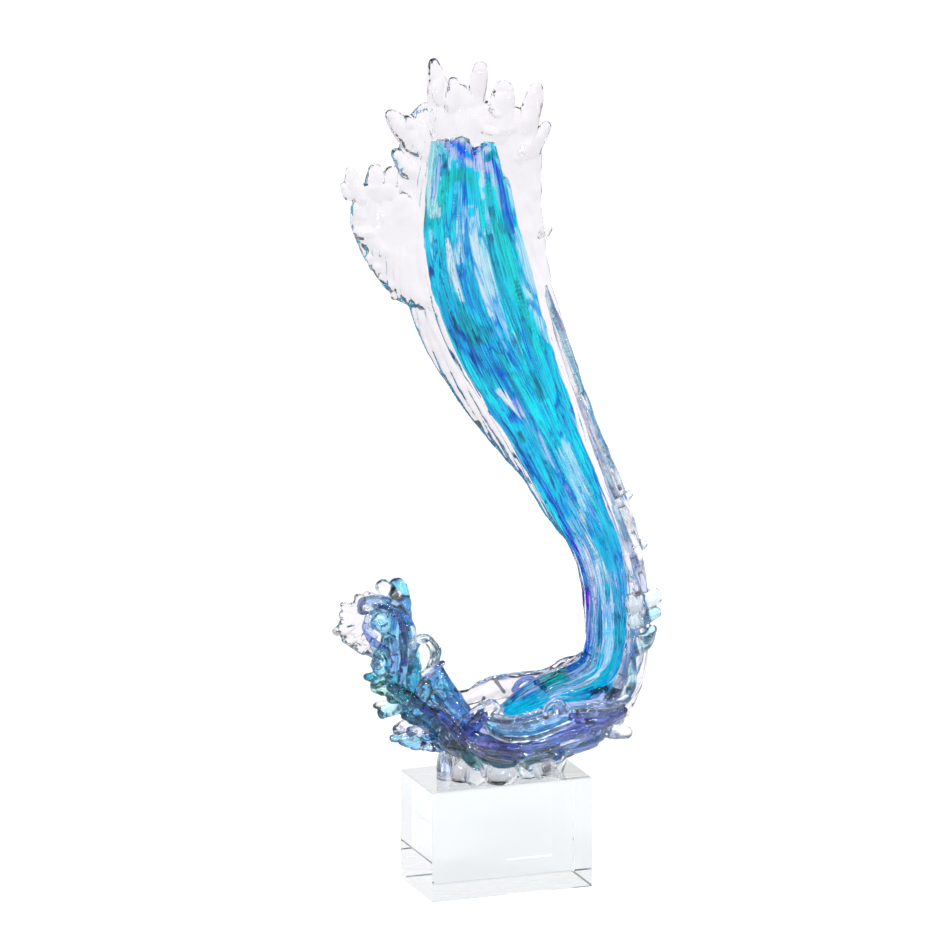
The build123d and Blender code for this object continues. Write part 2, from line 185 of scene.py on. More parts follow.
def drawn(stations, spacing, sides, square=1.0, rounded=False):
    # Glass drawn out along stations. A square over 1 thins its edges; rounded tapers the ends of a wide one.
    run = placedRun(stations, spacing)
    if rounded:
        far = distances(run[:, :3])
        for inward, end in ((far, 0), (far[-1] - far, -1)):
            share = np.clip(inward / run[end, 3], 0, 1)
            spare = np.maximum(run[:, 3] - run[:, 4], 0)
            run[:, 3] -= spare * (1 - np.sqrt(1 - (1 - share) ** 2))
    centre, half = run[:, :3], run[:, 3:5]
    along, across, through = axesAlong(centre)
    caps = []
    for end, way in ((0, -1), (-1, 1)):
        cap = []
        for angle in capAngles:
            reach = half[end].min() * math.sin(angle) * way
            size = half[end] * (math.cos(angle) + capSpare)
            cap.append((centre[end] + along[end] * reach, across[end], through[end], size))
        caps.append(cap)
    rings = caps[0] + list(zip(centre, across, through, half)) + caps[1][::-1]
    angles = np.linspace(0, 2 * math.pi, sides, endpoint=False)
    aside, behind = (np.sign(t) * np.abs(t) ** square for t in (np.cos(angles), np.sin(angles)))
    points = np.concatenate([
        c + a * (aside[:, None] * s[0]) + b * (behind[:, None] * s[1]) for c, a, b, s in rings
    ])
    return points, ringFaces(len(rings), sides)


def ringFaces(rings, sides):
    # Quads between rings of points, and a flat face over each end
    faces = []
    for start in range(0, (rings - 1) * sides, sides):
        for j in range(sides):
            n = (j + 1) % sides
            faces.append((start + j, start + n, start + sides + n, start + sides + j))
    faces.append(tuple(range(sides))[::-1])
    last = (rings - 1) * sides
    faces.append(tuple(range(last, last + sides)))
    return faces


def twisted(rope):
    # The strands of a rope twisted round its line, each wandering and swelling a little, as stations
    run = placedRun(rope["line"], 3.0)
    far = distances(run[:, :3])
    _, across, through = axesAlong(run[:, :3])
    count = len(rope["colours"])
    strands = []
    for k in range(count):
        wander = waves(far / (60 * mm), np.full(len(far), k + 0.5), rope["seed"]) * rope["wander"]
        phase = far / (rope["pitch"] * mm) * 2 * math.pi + k * 2 * math.pi / count + wander
        swell = 1 + rope["swell"] * waves(far / (28 * mm), np.full(len(far), k + 7.5), rope["seed"])
        out = run[:, 3:4] * rope["lay"]
        centre = run[:, :3] + out * (np.cos(phase)[:, None] * across + np.sin(phase)[:, None] * through)
        sizes = run[:, 3:5] * rope["thin"] * swell[:, None]
        strands.append(np.concatenate((seen(centre), centre[:, 1:2] / mm, sizes / mm), 1)[::2])
    return strands


def joined(shapes):
    # Shapes of points and faces, as one
    points, faces, start = [], [], 0
    for shapePoints, shapeFaces in shapes:
        points.append(shapePoints)
        faces += [tuple(i + start for i in face) for face in shapeFaces]
        start += len(shapePoints)
    return np.concatenate(points), faces


def newObject(name, points, faces):
    mesh = bpy.data.meshes.new(name)
    mesh.from_pydata([tuple(p) for p in points], [], faces)
    mesh.update()
    piece = bpy.data.objects.new(name, mesh)
    bpy.context.scene.collection.objects.link(piece)
    return piece


def fused(name, shapes, grain, smoothing):
    # Melts shapes into one skin: grain is its face size in mm
    piece = newObject(name, *joined(shapes))
    remesh = piece.modifiers.new("melt", "REMESH")
    remesh.mode = "VOXEL"
    remesh.voxel_size = grain * mm
    relax = piece.modifiers.new("relax", "SMOOTH")
    relax.factor = 0.5
    relax.iterations = smoothing
    depsgraph = bpy.context.evaluated_depsgraph_get()
    mesh = bpy.data.meshes.new_from_object(piece.evaluated_get(depsgraph))
    old = piece.data
    piece.modifiers.clear()
    piece.data = mesh
    bpy.data.meshes.remove(old)
    return piece


def readPoints(piece, what="co"):
    values = np.empty(len(piece.data.vertices) * 3)
    piece.data.vertices.foreach_get(what, values)
    return values.reshape(-1, 3)


def movePoints(piece, points):
    piece.data.vertices.foreach_set("co", np.ascontiguousarray(points).ravel())
    piece.data.update()


def ripple(piece, size, amount, seed):
    # Uneven, hand-worked surface: waves of a size in mm, along the normals
    points, normals = readPoints(piece), readPoints(piece, "normal")
    x, y, z = (points / (size * mm)).T
    lift = waves(x + 0.3 * z, z + 0.4 * y, seed) + waves(y * 1.3 + 5, z - 0.5 * x, seed + 1)
    lift += 0.5 * waves(x * 2.1, z * 2.3 + y, seed + 2)
    movePoints(piece, points + normals * (amount * mm * lift)[:, None])


# Flow: how far along its strand a point lies in metres, and how far across it in half widths


def flowOn(piece, strands, plane=(0, 2)):
    # Each point takes the strand nearest to it in the plane of these axes, in batches to spare memory
    runs = [placedRun(stations, 2.5) for stations in strands]
    centres = np.concatenate([run[:, :3] for run in runs])
    halves = np.concatenate([run[:, 3] for run in runs])
    number = np.concatenate([np.full(len(run), k) for k, run in enumerate(runs)])
    along = np.concatenate([unit(np.gradient(run[:, :3], axis=0)) for run in runs])
    far = np.concatenate([distances(run[:, :3]) for run in runs])
    points = readPoints(piece)
    batch = 8000
    flows = []
    for start in range(0, len(points), batch):
        some = points[start:start + batch]
        gap = some[:, None, plane] - centres[None][:, :, plane]
        near = (np.sqrt((gap ** 2).sum(2)) / halves).argmin(1)
        off = some - centres[near]
        side = off[:, 0] * along[near, 2] - off[:, 2] * along[near, 0]
        flows.append((far[near] + (off * along[near]).sum(1), side / halves[near], number[near]))
    return [np.concatenate(flow) for flow in zip(*flows)]


def storeFlow(piece, length, aside):
    layer = piece.data.uv_layers.new(name="flow")
    corners = np.empty(len(piece.data.loops), int)
    piece.data.loops.foreach_get("vertex_index", corners)
    layer.data.foreach_set("uv", np.stack((aside[corners], length[corners]), 1).ravel())


# Colour: each strand has its own, and rods of colour are melted in along their own lines


def linear(code):
    values = [int(code[i:i + 2], 16) / 255 for i in (1, 3, 5)]
    return [v / 12.92 if v <= 0.04045 else ((v + 0.055) / 1.055) ** 2.4 for v in values]


def storeTint(piece, colour, rods, crease=1.0, depth=1.0):
    # A rod is its colour, its strength, and stations of column, row and half width in pixels
    spots = seen(readPoints(piece))
    for code, strength, *stations in rods:
        run = smoothRun([(c, r, 0, w) for c, r, w in stations], 12 * len(stations))
        reach = run[:, 3].max() * 2
        inside = (spots > run[:, :2].min(0) - reach) & (spots < run[:, :2].max(0) + reach)
        near = np.flatnonzero(inside.all(1))
        if not len(near):
            continue
        away = np.linalg.norm(spots[near][:, None] - run[None, :, :2], axis=2) / run[None, :, 3]
        share = strength * np.exp(-(away.min(1) ** 4))[:, None]
        colour[near] = colour[near] * (1 - share) + np.array(linear(code)) * share
    # Painted shade: where crease is 0, in the creases between lobes, the tint is deepened
    colour = colour ** ((2.2 - 1.2 * crease) * depth)  # deeper where the glass is creased
    layer = piece.data.color_attributes.new("tint", "FLOAT_COLOR", "POINT")
    layer.data.foreach_set("color", np.concatenate((colour, np.ones((len(spots), 1))), 1).ravel())


# Materials


def addNode(tree, kind, settings=None, links=None):
    # settings: an attribute's name, or an input's name or number; links: input -> (node, output)
    node = tree.nodes.new("ShaderNode" + kind)
    for key, value in (settings or {}).items():
        if isinstance(key, int) or key in node.inputs:
            node.inputs[key].default_value = value
        else:
            setattr(node, key, value)
    for key, (source, output) in (links or {}).items():
        tree.links.new(source.outputs[output], node.inputs[key])
    return node


def newMaterial(name):
    material = bpy.data.materials.new(name)
    material.use_nodes = True
    material.node_tree.nodes.clear()
    return material, material.node_tree


def clearGlass(name, code, ior, bumpSize, bump):
    # Fire-polished clear glass: nearly invisible, with thin dark edges and soft ripples
    material, tree = newMaterial(name)
    where = addNode(tree, "TexCoord")
    cord = addNode(tree, "TexNoise", {"Scale": 1 / (bumpSize * mm), "Detail": 1.0},
                   {"Vector": (where, "Object")})
    relief = addNode(tree, "Bump", {"Strength": bump, "Distance": 1 * mm}, {"Height": (cord, 0)})
    glass = addNode(tree, "BsdfPrincipled", {"Base Color": (*linear(code), 1), "Roughness": 0.0, "IOR": ior,
                                             "Transmission Weight": 1.0}, {"Normal": (relief, 0)})
    addNode(tree, "OutputMaterial", links={"Surface": (glass, 0)})
    return material


def mixed(tree, share, first, second):
    return addNode(tree, "Mix", {"data_type": "RGBA"}, {0: share, 6: first, 7: second}), 2


def stretched(tree, flow, across, along):
    # The flow's coordinates, one to each width across (in half widths) and each length along (in mm)
    return addNode(tree, "Mapping", {"Scale": (1 / across, 1 / (along * mm), 1)}, {"Vector": flow})


def colouredGlass(name, ior, cell, thread, line, shades):
    # Coloured gathers pulled out hot: long lens-shaped lobes of one tint, finer threads of a deeper one,
    # and thin dark lines where lobes meet. cell and thread are across in half widths and along in mm.
    material, tree = newMaterial(name)
    tint = addNode(tree, "Attribute", {"attribute_name": "tint"}), "Color"
    flow = addNode(tree, "UVMap", {"uv_map": "flow"}), 0
    slow = stretched(tree, flow, cell[0], cell[1] / 0.7)
    drift = addNode(tree, "TexNoise", {"noise_dimensions": "2D", "Scale": 0.8, "Detail": 2.0},
                    {"Vector": (slow, 0)})
    sway = addNode(tree, "VectorMath", {"operation": "MULTIPLY", 1: (1.4, 0.8, 0)}, {0: (drift, "Color")})
    wide, fine = (addNode(tree, "VectorMath", {"operation": "ADD"},
                          {0: (stretched(tree, flow, *size), 0), 1: (sway, 0)}) for size in (cell, thread))
    lobe, edge = (addNode(tree, "TexVoronoi", {"voronoi_dimensions": "2D", "feature": feature, "Scale": 1.0},
                          {"Vector": (wide, 0)}) for feature in ("F1", "DISTANCE_TO_EDGE"))
    parts = addNode(tree, "SeparateColor", links={0: (lobe, "Color")})
    threads = addNode(tree, "TexNoise", {"noise_dimensions": "2D", "Scale": 1.0, "Detail": 3.0},
                      {"Vector": (fine, 0)})
    hue = addNode(tree, "MapRange", {"To Min": 0.5 - shades["hue"], "To Max": 0.5 + shades["hue"]},
                  {"Value": (parts, 1)})
    turned = addNode(tree, "HueSaturation", {"Saturation": shades["rich"]}, {"Hue": (hue, 0), "Color": tint})
    paler, deeper, darker = ((addNode(tree, "Gamma", {"Gamma": shades[key]}, {"Color": (turned, 0)}), 0)
                             for key in ("pale", "deep", "dark"))
    colour = mixed(tree, (parts, 0), deeper, paler)
    for source, low, high, start, end, shade in (
        ((threads, 0), 0.53, 0.57, 0.0, shades["thread"], paler),
        ((threads, 0), 0.36, 0.4, shades["thread"], 0.0, darker),
        ((edge, "Distance"), line * 0.4, line, shades["line"], 0.0, darker),
    ):
        step = addNode(tree, "MapRange", {"From Min": low, "From Max": high, "To Min": start, "To Max": end},
                       {"Value": source})
        colour = mixed(tree, (step, 0), colour, shade)
    relief = addNode(tree, "Bump", {"Strength": 0.3, "Distance": 1 * mm}, {"Height": (threads, 0)})
    glass = addNode(tree, "BsdfPrincipled", {"Roughness": 0.0, "IOR": ior, "Transmission Weight": 1.0},
                    {"Base Color": colour, "Normal": (relief, 0)})
    addNode(tree, "OutputMaterial", links={"Surface": (glass, 0)})
    return material


materials = {
    "clear": clearGlass("castClearGlass", "#EBE8ED", 1.47, 14, 0.15),
    # The casing's index is below real glass (about 1.5), so that its edges stay thin lines as in the photo
    "casing": clearGlass("clearCasingGlass", "#EBE8ED", 1.3, 9, 0.45),
    "crystal": clearGlass("opticalCrystal", "#E3E7EA", 1.52, 60, 0.0),
    "adhesive": clearGlass("curedClearAdhesive", "#FCFCFC", 1.01, 60, 0.0),
    "plume": colouredGlass("cyanStreakedGlass", 1.12, (0.13, 110), (0.035, 150), 0.07,
                           {"hue": 0.015, "pale": 0.36, "deep": 1.35, "dark": 2.9, "line": 0.95,
                            "thread": 0.9, "rich": 1.12}),
    "deep": colouredGlass("cobaltStreakedGlass", 1.45, (1.1, 45), (0.25, 30), 0.06,
                          {"hue": 0.02, "pale": 0.35, "deep": 0.95, "dark": 1.8, "line": 0.45, "thread": 0.6,
                           "rich": 0.98}),
}


def numbered(stem, count):
    return tuple(f"{stem}_{number}" for number in range(1, count + 1))


def finishPiece(piece, material, slot, *nodes):
    piece.data.materials.clear()
    piece.data.materials.append(materials[material])
    piece.data.polygons.foreach_set("use_smooth", [True] * len(piece.data.polygons))
    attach(piece, "root")
    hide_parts(*nodes)


casingShade = 0.93  # the clear skin over a coloured gather


def stationsOf(strand):
    # A strand is its colour and its stations, with one half width between them where all share it
    _, first, *others = strand
    if np.ndim(first):
        return [first, *others]
    return [(*place, first) for place in others]


def meltGather(name, made):
    # One named gather: its strands melted together, uneven, tinted strand by strand. grain is its face size,
    # ripple and size are the height and length of its unevenness, floor is where it is cut flat, all in mm.
    # From the rim outwards, in half widths, a clear skin takes the share cased of its colour.
    strands = [stationsOf(strand) for strand in made["strands"]]
    shapes = [drawn(stations, 1.2, 24, made.get("square", 1), rounded=True) for stations in strands]
    piece = fused(name, shapes, made.get("grain", 1.1), made.get("smoothing", 4))
    ripple(piece, made.get("size", 9), made.get("ripple", 0.5), len(name) * 7)
    length, aside, strand = flowOn(piece, strands, (0, 1, 2))
    storeFlow(piece, length, aside + strand * 5.3)
    colour = np.array([linear(code) for code, *_ in made["strands"]])[strand]
    casing = np.clip((np.abs(aside) - made.get("rim", 0.7)) / 0.25, 0, 1)[:, None] * made.get("cased", 0.8)
    colour = colour * (1 - casing) + casing * casingShade
    storeTint(piece, colour, made.get("rods", ()))
    if "floor" in made:
        points = readPoints(piece)
        points[:, 2] = np.maximum(points[:, 2], made["floor"] * mm)
        movePoints(piece, points)
    finishPiece(piece, made.get("material", "deep"), made.get("slot", "clear_glass"), *made["nodes"])
    print(name, "built")


# Plume

plume = {
    # column, row, depth, half width, half thickness
    "core": (
        (510, 714, 8, 11, 6), (532, 702, 10, 17, 8), (556, 691, 12, 19, 9), (580, 684, 13, 22, 10),
        (600, 670, 12, 25, 11), (608, 645, 8, 25, 12), (608, 615, 5, 23, 12), (607, 585, 0, 23, 11),
        (597, 545, -4, 24, 10), (579, 508, -6, 28, 9), (557, 462, -8, 32, 9), (538, 420, -9, 37, 9),
        (516, 375, -10, 43, 9), (495, 325, -12, 49, 9), (479, 275, -13, 52, 9), (469, 225, -14, 49, 8),
        (466, 180, -16, 43, 7), (465, 138, -17, 38, 5),
    ),
    "casing": (
        (606, 706, 8, 29, 18), (616, 672, 8, 33, 20), (617, 640, 5, 33, 20), (613, 605, 3, 32, 19),
        (608, 570, -1, 31, 19), (597, 530, -5, 34, 18), (577, 490, -7, 42, 17), (556, 450, -8, 46, 17),
        (527, 400, -9, 58, 16), (503, 350, -10, 68, 16), (481, 300, -12, 75, 15), (470, 250, -13, 79, 15),
        (465, 200, -14, 79, 14), (467, 150, -16, 77, 12), (470, 120, -17, 69, 8), (472, 106, -17, 56, 2.5),
    ),
    "tongue": (
        (504, 715, 7, 10, 9), (520, 708, 9, 16, 10), (546, 696, 11, 21, 12), (578, 684, 13, 26, 14),
        (602, 668, 11, 29, 15),
    ),
    "bow": 9,  # mm that the edges stand forward of the middle
    "lobeLength": 120,  # mm
    "lobeHeight": 2.3,  # mm, of the skin's relief
    "coreRelief": 1.2,  # mm
    "lobeMiddle": 0.6,  # the height that stays where it is
    "skinTop": (0.82, 0.2, 0.25),  # where the skin's relief ends in m, over how far, and the share that stays
    "skinSide": (1.3, 0.3, 0.4),  # the same across, in half widths
    "waist": (0.3, 0.12, 0),  # the same for the waist's tints
    "top": ((-1.1, 6), (-0.95, 0), (-0.55, 1), (-0.42, 8), (-0.25, 5), (-0.1, 3), (0.1, 8), (0.22, 24),
            (0.4, 20), (0.5, 12), (0.8, 12), (0.92, 26), (1.1, 60)),  # drop of the end in mm, across it
    "ground": "#2BC0E8",
    "depths": (1.45, 0.45),  # how strongly the front and the back of the core are coloured
    "lobeTints": ("#1CC4EA", "#35D8EC", "#98E2FA", "#18AEDF", "#6AD4F6", "#1FC4D2", "#B4EAFC", "#2FA4EA"),
    "waistTints": ("#1FB8EA", "#B4DCFA", "#7FA8F4", "#0F9CDC", "#D4E4FC", "#0F74B8", "#5FD4F2", "#8C9CF0"),
    "rods": (
        ("#A6E6FA", 0.8, (468, 212, 9), (476, 250, 13), (486, 290, 10)),
        ("#C4ECFA", 0.7, (450, 252, 6), (458, 288, 6)),
        ("#12BEE6", 0.7, (500, 220, 8), (520, 300, 9), (545, 370, 9), (575, 440, 8)),
        ("#20DCE0", 0.8, (488, 190, 7), (505, 250, 8), (520, 300, 7), (540, 350, 7)),
        ("#1E58E4", 0.95, (492, 160, 2), (500, 182, 3), (507, 208, 4), (513, 232, 2)),
        ("#B9CCFA", 0.9, (446, 140, 8), (456, 148, 10), (470, 158, 10), (484, 166, 8)),
        ("#6C86F2", 0.9, (452, 142, 3), (461, 150, 6), (472, 160, 3)),
        ("#12C4C8", 0.95, (440, 208, 4), (444, 190, 6), (452, 176, 7), (466, 176, 5), (474, 188, 3)),
        ("#0B9AB4", 0.9, (428, 148, 10), (425, 185, 11), (432, 224, 6), (442, 200, 2)),
        ("#AAECF2", 0.97, (434, 148, 9), (430, 184, 9), (433, 214, 5)),
        ("#7C9CF4", 0.8, (439, 156, 2), (437, 178, 3), (433, 198, 2)),
        ("#0E9EC0", 0.9, (486, 160, 3), (492, 154, 3), (500, 158, 3)),
        ("#0A6E98", 0.9, (470, 180, 1), (486, 250, 1), (497, 300, 1)),
        ("#0A7F9C", 0.9, (455, 195, 1), (462, 250, 1), (478, 310, 1), (492, 340, 1)),
        ("#0A7F9C", 0.9, (482, 170, 1), (502, 240, 1), (520, 300, 1), (545, 360, 1), (566, 410, 1)),
        ("#E4F6FC", 0.9, (447, 240, 2), (452, 275, 3), (462, 300, 2)),
        ("#E4F6FC", 0.9, (470, 235, 2), (478, 270, 2), (490, 315, 2)),
        ("#E8F8FC", 0.9, (498, 390, 3), (508, 400, 4), (520, 415, 2)),
        ("#0B5A80", 0.9, (530, 372, 2), (536, 385, 3), (542, 398, 2)),
        ("#0B5A80", 0.9, (519, 432, 2), (524, 440, 2)),
        ("#0E93D8", 0.85, (424, 255, 5), (432, 290, 6), (448, 320, 6), (470, 350, 7), (500, 375, 7)),
        ("#16A8C4", 0.9, (462, 322, 9), (480, 334, 10)),
        ("#2C7CE4", 0.85, (446, 318, 1), (460, 345, 2), (477, 360, 2), (500, 375, 2)),
        ("#4A5BE8", 0.95, (492, 405, 2), (508, 430, 3), (532, 469, 4), (560, 513, 4), (578, 555, 4)),
        ("#3A4ED8", 0.95, (576, 550, 4), (585, 590, 5), (587, 625, 5), (586, 655, 4), (570, 670, 3)),
        ("#0A90C8", 0.7, (600, 530, 3), (612, 590, 4), (620, 620, 5), (618, 655, 4)),
        ("#0F8D8A", 0.9, (545, 684, 7), (562, 676, 7)),
        ("#17B7E4", 0.8, (503, 714, 8), (526, 706, 8), (545, 702, 6)),
        ("#D8ECFC", 0.9, (596, 560, 2), (602, 600, 2), (604, 640, 2), (590, 668, 2), (560, 690, 1)),
        ("#DDE6FC", 0.9, (584, 540, 2), (592, 580, 2), (595, 620, 2), (597, 650, 2)),
        ("#D4F0FA", 0.85, (578, 500, 2), (590, 540, 2), (612, 590, 1), (612, 630, 1)),
        ("#0C6E9C", 0.9, (590, 560, 1), (599, 610, 1), (599, 650, 2), (580, 674, 1), (548, 696, 1)),
        ("#0B86B4", 0.9, (606, 560, 2), (616, 610, 2), (617, 650, 2), (602, 678, 2), (570, 694, 1)),
        ("#0A7F9C", 0.9, (500, 360, 1), (530, 410, 1), (556, 460, 1), (580, 510, 1), (600, 560, 1)),
        ("#0A7F9C", 0.9, (540, 420, 1), (566, 460, 1), (590, 500, 1), (606, 540, 1)),
        ("#A9C4F8", 0.85, (515, 400, 3), (540, 440, 3), (562, 480, 3), (580, 520, 2)),
        ("#E6F3F8", 0.9, (428, 137, 4), (446, 136, 5), (466, 138, 5), (478, 146, 4), (486, 150, 3)),
    ),
}


def bow(piece):
    # The plume is a shallow scoop: its edges come forward, more towards the crown
    points = readPoints(piece)
    length, aside, _ = flowOn(piece, [plume["casing"]])
    share = np.clip(length / length.max(), 0, 1)
    points[:, 1] -= plume["bow"] * mm * share * np.clip(aside, -1.2, 1.2) ** 2
    movePoints(piece, points)


def faded(value, end, over, least):
    return np.clip((end - value) / over, least, 1)


def plumeLobes(normals, length, aside):
    # The plume's strands: each lobe's height and number, the same in the core and in the clear skin over it
    side = np.where(normals[:, 1] < 0, 0.0, 17.3)
    wander = waves(aside * 2 + 9 + side, length * 7, 4)
    narrow = np.interp(length, (0.1, 0.3, 0.8), (4.2, 5.0, 8.0))
    return lobes(aside * narrow + 0.8 * wander + side, length / (plume["lobeLength"] * mm) + side, 12)


def buildCore():
    piece = newObject("plume_core_glass", *drawn(plume["core"], 1.6, 180))
    bow(piece)
    length, aside, _ = flowOn(piece, [plume["core"]])
    points, normals = readPoints(piece), readPoints(piece, "normal")
    height, number = plumeLobes(normals, length, aside)
    points += normals * ((height - plume["lobeMiddle"]) * plume["coreRelief"] * mm)[:, None]
    near = np.clip((length - length.max() + 75 * mm) / (60 * mm), 0, 1)
    across, drops = zip(*plume["top"])
    points[:, 2] -= near**2 * np.interp(aside, across, drops) * mm
    movePoints(piece, points)
    storeFlow(piece, length, aside)
    upper, lower = (np.array([linear(code) for code in plume[key]]) for key in ("lobeTints", "waistTints"))
    pick = (number * len(upper)).astype(int)
    waist = faded(length, *plume["waist"])[:, None]
    colour = upper[pick] * (1 - waist) + lower[pick] * waist
    colour = colour * 0.92 + np.array(linear(plume["ground"])) * 0.08
    # 0 in the creases between lobes, where storeTint deepens the tint as painted shade
    crease = np.clip((height - 0.06) / 0.16, 0, 1)[:, None]
    depth = np.interp(normals[:, 1], (-0.3, 0.3), plume["depths"])[:, None]
    storeTint(piece, colour, plume["rods"], crease, depth)
    finishPiece(piece, "plume", "cyan_glass", "plume_core")
    print("core built")


crown = {
    "fingers": (
        ((446, 142, -25, 10, 7), (440, 112, -25, 14, 10), (436, 88, -24, 12, 9), (433, 70, -23, 8, 7),
         (432, 64, -23, 6, 5)),
        ((438, 104, -33, 5, 4), (436, 92, -33, 6, 4), (440, 80, -31, 5, 3)),
        ((450, 110, -18, 14, 9), (452, 94, -19, 11, 8), (453, 84, -20, 8, 6)),
        ((466, 140, -17, 34, 12), (464, 118, -18, 32, 10), (462, 100, -19, 26, 5)),
        ((496, 136, -17, 26, 11), (496, 112, -18, 22, 6)),
        ((463, 118, -17, 14, 9), (463, 102, -18, 11, 8), (462, 92, -19, 8, 6)),
        ((470, 140, -22, 8, 7), (474, 114, -20, 11, 10), (477, 92, -15, 9, 8), (480, 70, -13, 8, 7)),
        ((499, 124, -22, 14, 12), (501, 106, -23, 13, 12), (503, 92, -22, 12, 10)),
        ((492, 120, -20, 8, 9), (490, 108, -22, 6)), ((512, 126, -18, 10, 9), (514, 114, -18, 6)),
        ((518, 156, -22, 7), (524, 130, -21, 11, 10), (529, 108, -17, 10, 8), (534, 88, -16, 8, 6)),
        ((526, 152, -14, 12, 8), (536, 138, -16, 8, 7), (543, 125, -17, 5)),
        ((416, 150, -21, 9, 7), (402, 132, -19, 11, 8), (387, 114, -17, 9, 6)),
        ((432, 160, -16, 20, 10), (424, 134, -18, 22, 8), (418, 116, -19, 17, 4)),
        ((408, 126, -16, 9, 7), (403, 119, -17, 6, 5)),
        ((480, 122, -27, 4), (484, 131, -29, 4), (498, 133, -30, 4), (511, 129, -29, 4)),
        ((489, 111, -33, 2), (496, 116, -34, 3, 2), (504, 116, -33, 2)),
        ((424, 112, -23, 2, 3), (430, 132, -25, 2, 3), (444, 156, -26, 3)),
        ((410, 172, -14, 12, 9), (400, 161, -16, 9, 7), (394, 154, -17, 7, 6)),
    ),
    "splash": (
        ((424, 300, -10, 24, 10), (407, 262, -9, 36, 9), (386, 226, -7, 37, 8), (368, 200, -3, 28, 7),
         (358, 188, 0, 17, 6)),
        ((360, 198, 0, 12, 7), (351, 184, 1, 9, 7), (348, 171, 3, 7, 6)),
        ((346, 194, 1, 7, 6), (341, 185, 1, 4, 5)),
        ((376, 198, -5, 12, 7), (372, 182, -6, 11, 8), (372, 170, -8, 9, 8)),
        ((388, 192, -8, 10, 8), (388, 178, -10, 8), (389, 172, -11, 7)),
        ((383, 252, -6, 14, 8), (370, 240, -8, 13, 8), (362, 232, -10, 10, 8)),
        ((362, 216, -3, 9, 6), (352, 207, -3, 6, 5)), ((368, 232, -5, 9, 6), (354, 230, -5, 6, 5)),
        ((378, 256, -6, 9, 6), (366, 256, -7, 6, 5)), ((392, 274, -8, 9, 6), (380, 276, -8, 6, 5)),
        ((404, 290, -9, 9, 6), (392, 294, -9, 6, 5)), ((376, 266, -8, 9, 7), (368, 255, -8, 7, 6)),
        ((392, 284, -9, 9, 7), (384, 272, -9, 6)), ((398, 268, -10, 10, 8), (404, 256, -12, 6, 7)),
    ),
}


def buildCasing():
    shapes = [drawn(plume["casing"], 2.5, 96, 1.5), drawn(plume["tongue"], 2.5, 48)]
    shapes += [drawn(stations, 1.5, 24, rounded=True) for stations in crown["fingers"] + crown["splash"]]
    piece = fused("plume_casing_glass", shapes, 1.2, 4)
    bow(piece)
    length, aside, _ = flowOn(piece, [plume["core"]])
    points, normals = readPoints(piece), readPoints(piece, "normal")
    height, _ = plumeLobes(normals, length, aside)
    fade = faded(length, *plume["skinTop"]) * faded(np.abs(aside), *plume["skinSide"])
    lift = plume["lobeHeight"] * mm * fade * (height - plume["lobeMiddle"])
    movePoints(piece, points + normals * lift[:, None])
    ripple(piece, 14, 0.35, 5)
    storeFlow(piece, length, aside)
    splash = [f"splash_{part}" for part in ("sheet", "tip", "upper_lobe", "lower_lobe", "side_bump", "drop")]
    finishPiece(piece, "casing", "clear_glass", "plume_casing", "crown_lobe_left", "crown_lobe_right",
                "crown_dish", *splash, *numbered("crown_finger", 6))
    print("casing, crown and splash built")


# Ridge: a rope of glass laid along the plume's outer edge, with beads pulled from it

ridge = {
    "nodes": ("ridge_rope", "ridge_bead_lower", "ridge_bead_middle", "ridge_bead_upper", "ridge_drop"),
    "smoothing": 2, "ripple": 0.3, "size": 8,
    "pitch": 330,  # mm to a turn of a strand
    "lay": 0.6,  # how far out its strands lie, and how thick they are, in half widths of the rope
    "thin": 0.36,
    "wander": 2.2,  # radians
    "swell": 0.3,
    "seed": 21,
    "line": (
        (612, 712, -13, 11), (627, 680, -10, 12), (636, 640, -8, 12), (638, 600, -9, 12),
        (634, 560, -12, 11), (626, 520, -14, 10), (614, 483, -16, 9), (599, 445, -17, 8),
        (585, 405, -18, 7), (571, 365, -19, 7), (557, 325, -19, 6), (549, 300, -19, 4),
        (546, 286, -19, 1.5),
    ),
    "colours": ("#F2F2F6", "#4C68A8", "#EDEFF6", "#52B8D4", "#F2F2F6", "#E4E7F2"),
    "rods": (
        ("#2E4A8C", 0.85, (615, 590, 2), (619, 625, 2), (622, 660, 3), (621, 690, 3)),
        ("#1A7FA0", 0.8, (572, 345, 1), (584, 385, 2), (596, 420, 1), (606, 450, 2)),
        ("#1F9CC4", 0.85, (644, 600, 2), (648, 625, 3), (644, 650, 2)),
        ("#34508C", 0.8, (551, 296, 2), (556, 312, 3), (562, 330, 2)),
    ),
    "beads": (
        ("#BFE8F2", (634, 648, -13, 10), (645, 642, -15, 9), (653, 630, -16, 5)),
        ("#D9EDF2", (634, 603, -10, 11), (646, 600, -10, 10), (654, 597, -10, 9)),
        ("#9FDCEC", (636, 620, -12, 9), (648, 616, -12, 8), (656, 613, -12, 6)),
        ("#E3ECF2", (630, 551, -14, 8), (638, 547, -16, 7), (643, 544, -16, 5, 6)),
        ("#DCE9F0", (622, 500, -15, 6), (630, 494, -16, 4)),
        ("#F4F4F7", (540, 236, -14, 4, 5), (544, 232, -14, 7), (547, 229, -13, 5, 6)),
    ),
}


def buildRidge():
    strands = [(code, *strand) for code, strand in zip(ridge["colours"], twisted(ridge))]
    meltGather("ridge_glass", {**ridge, "strands": (*strands, *ridge["beads"])})


# Trough, lips, crest and foot

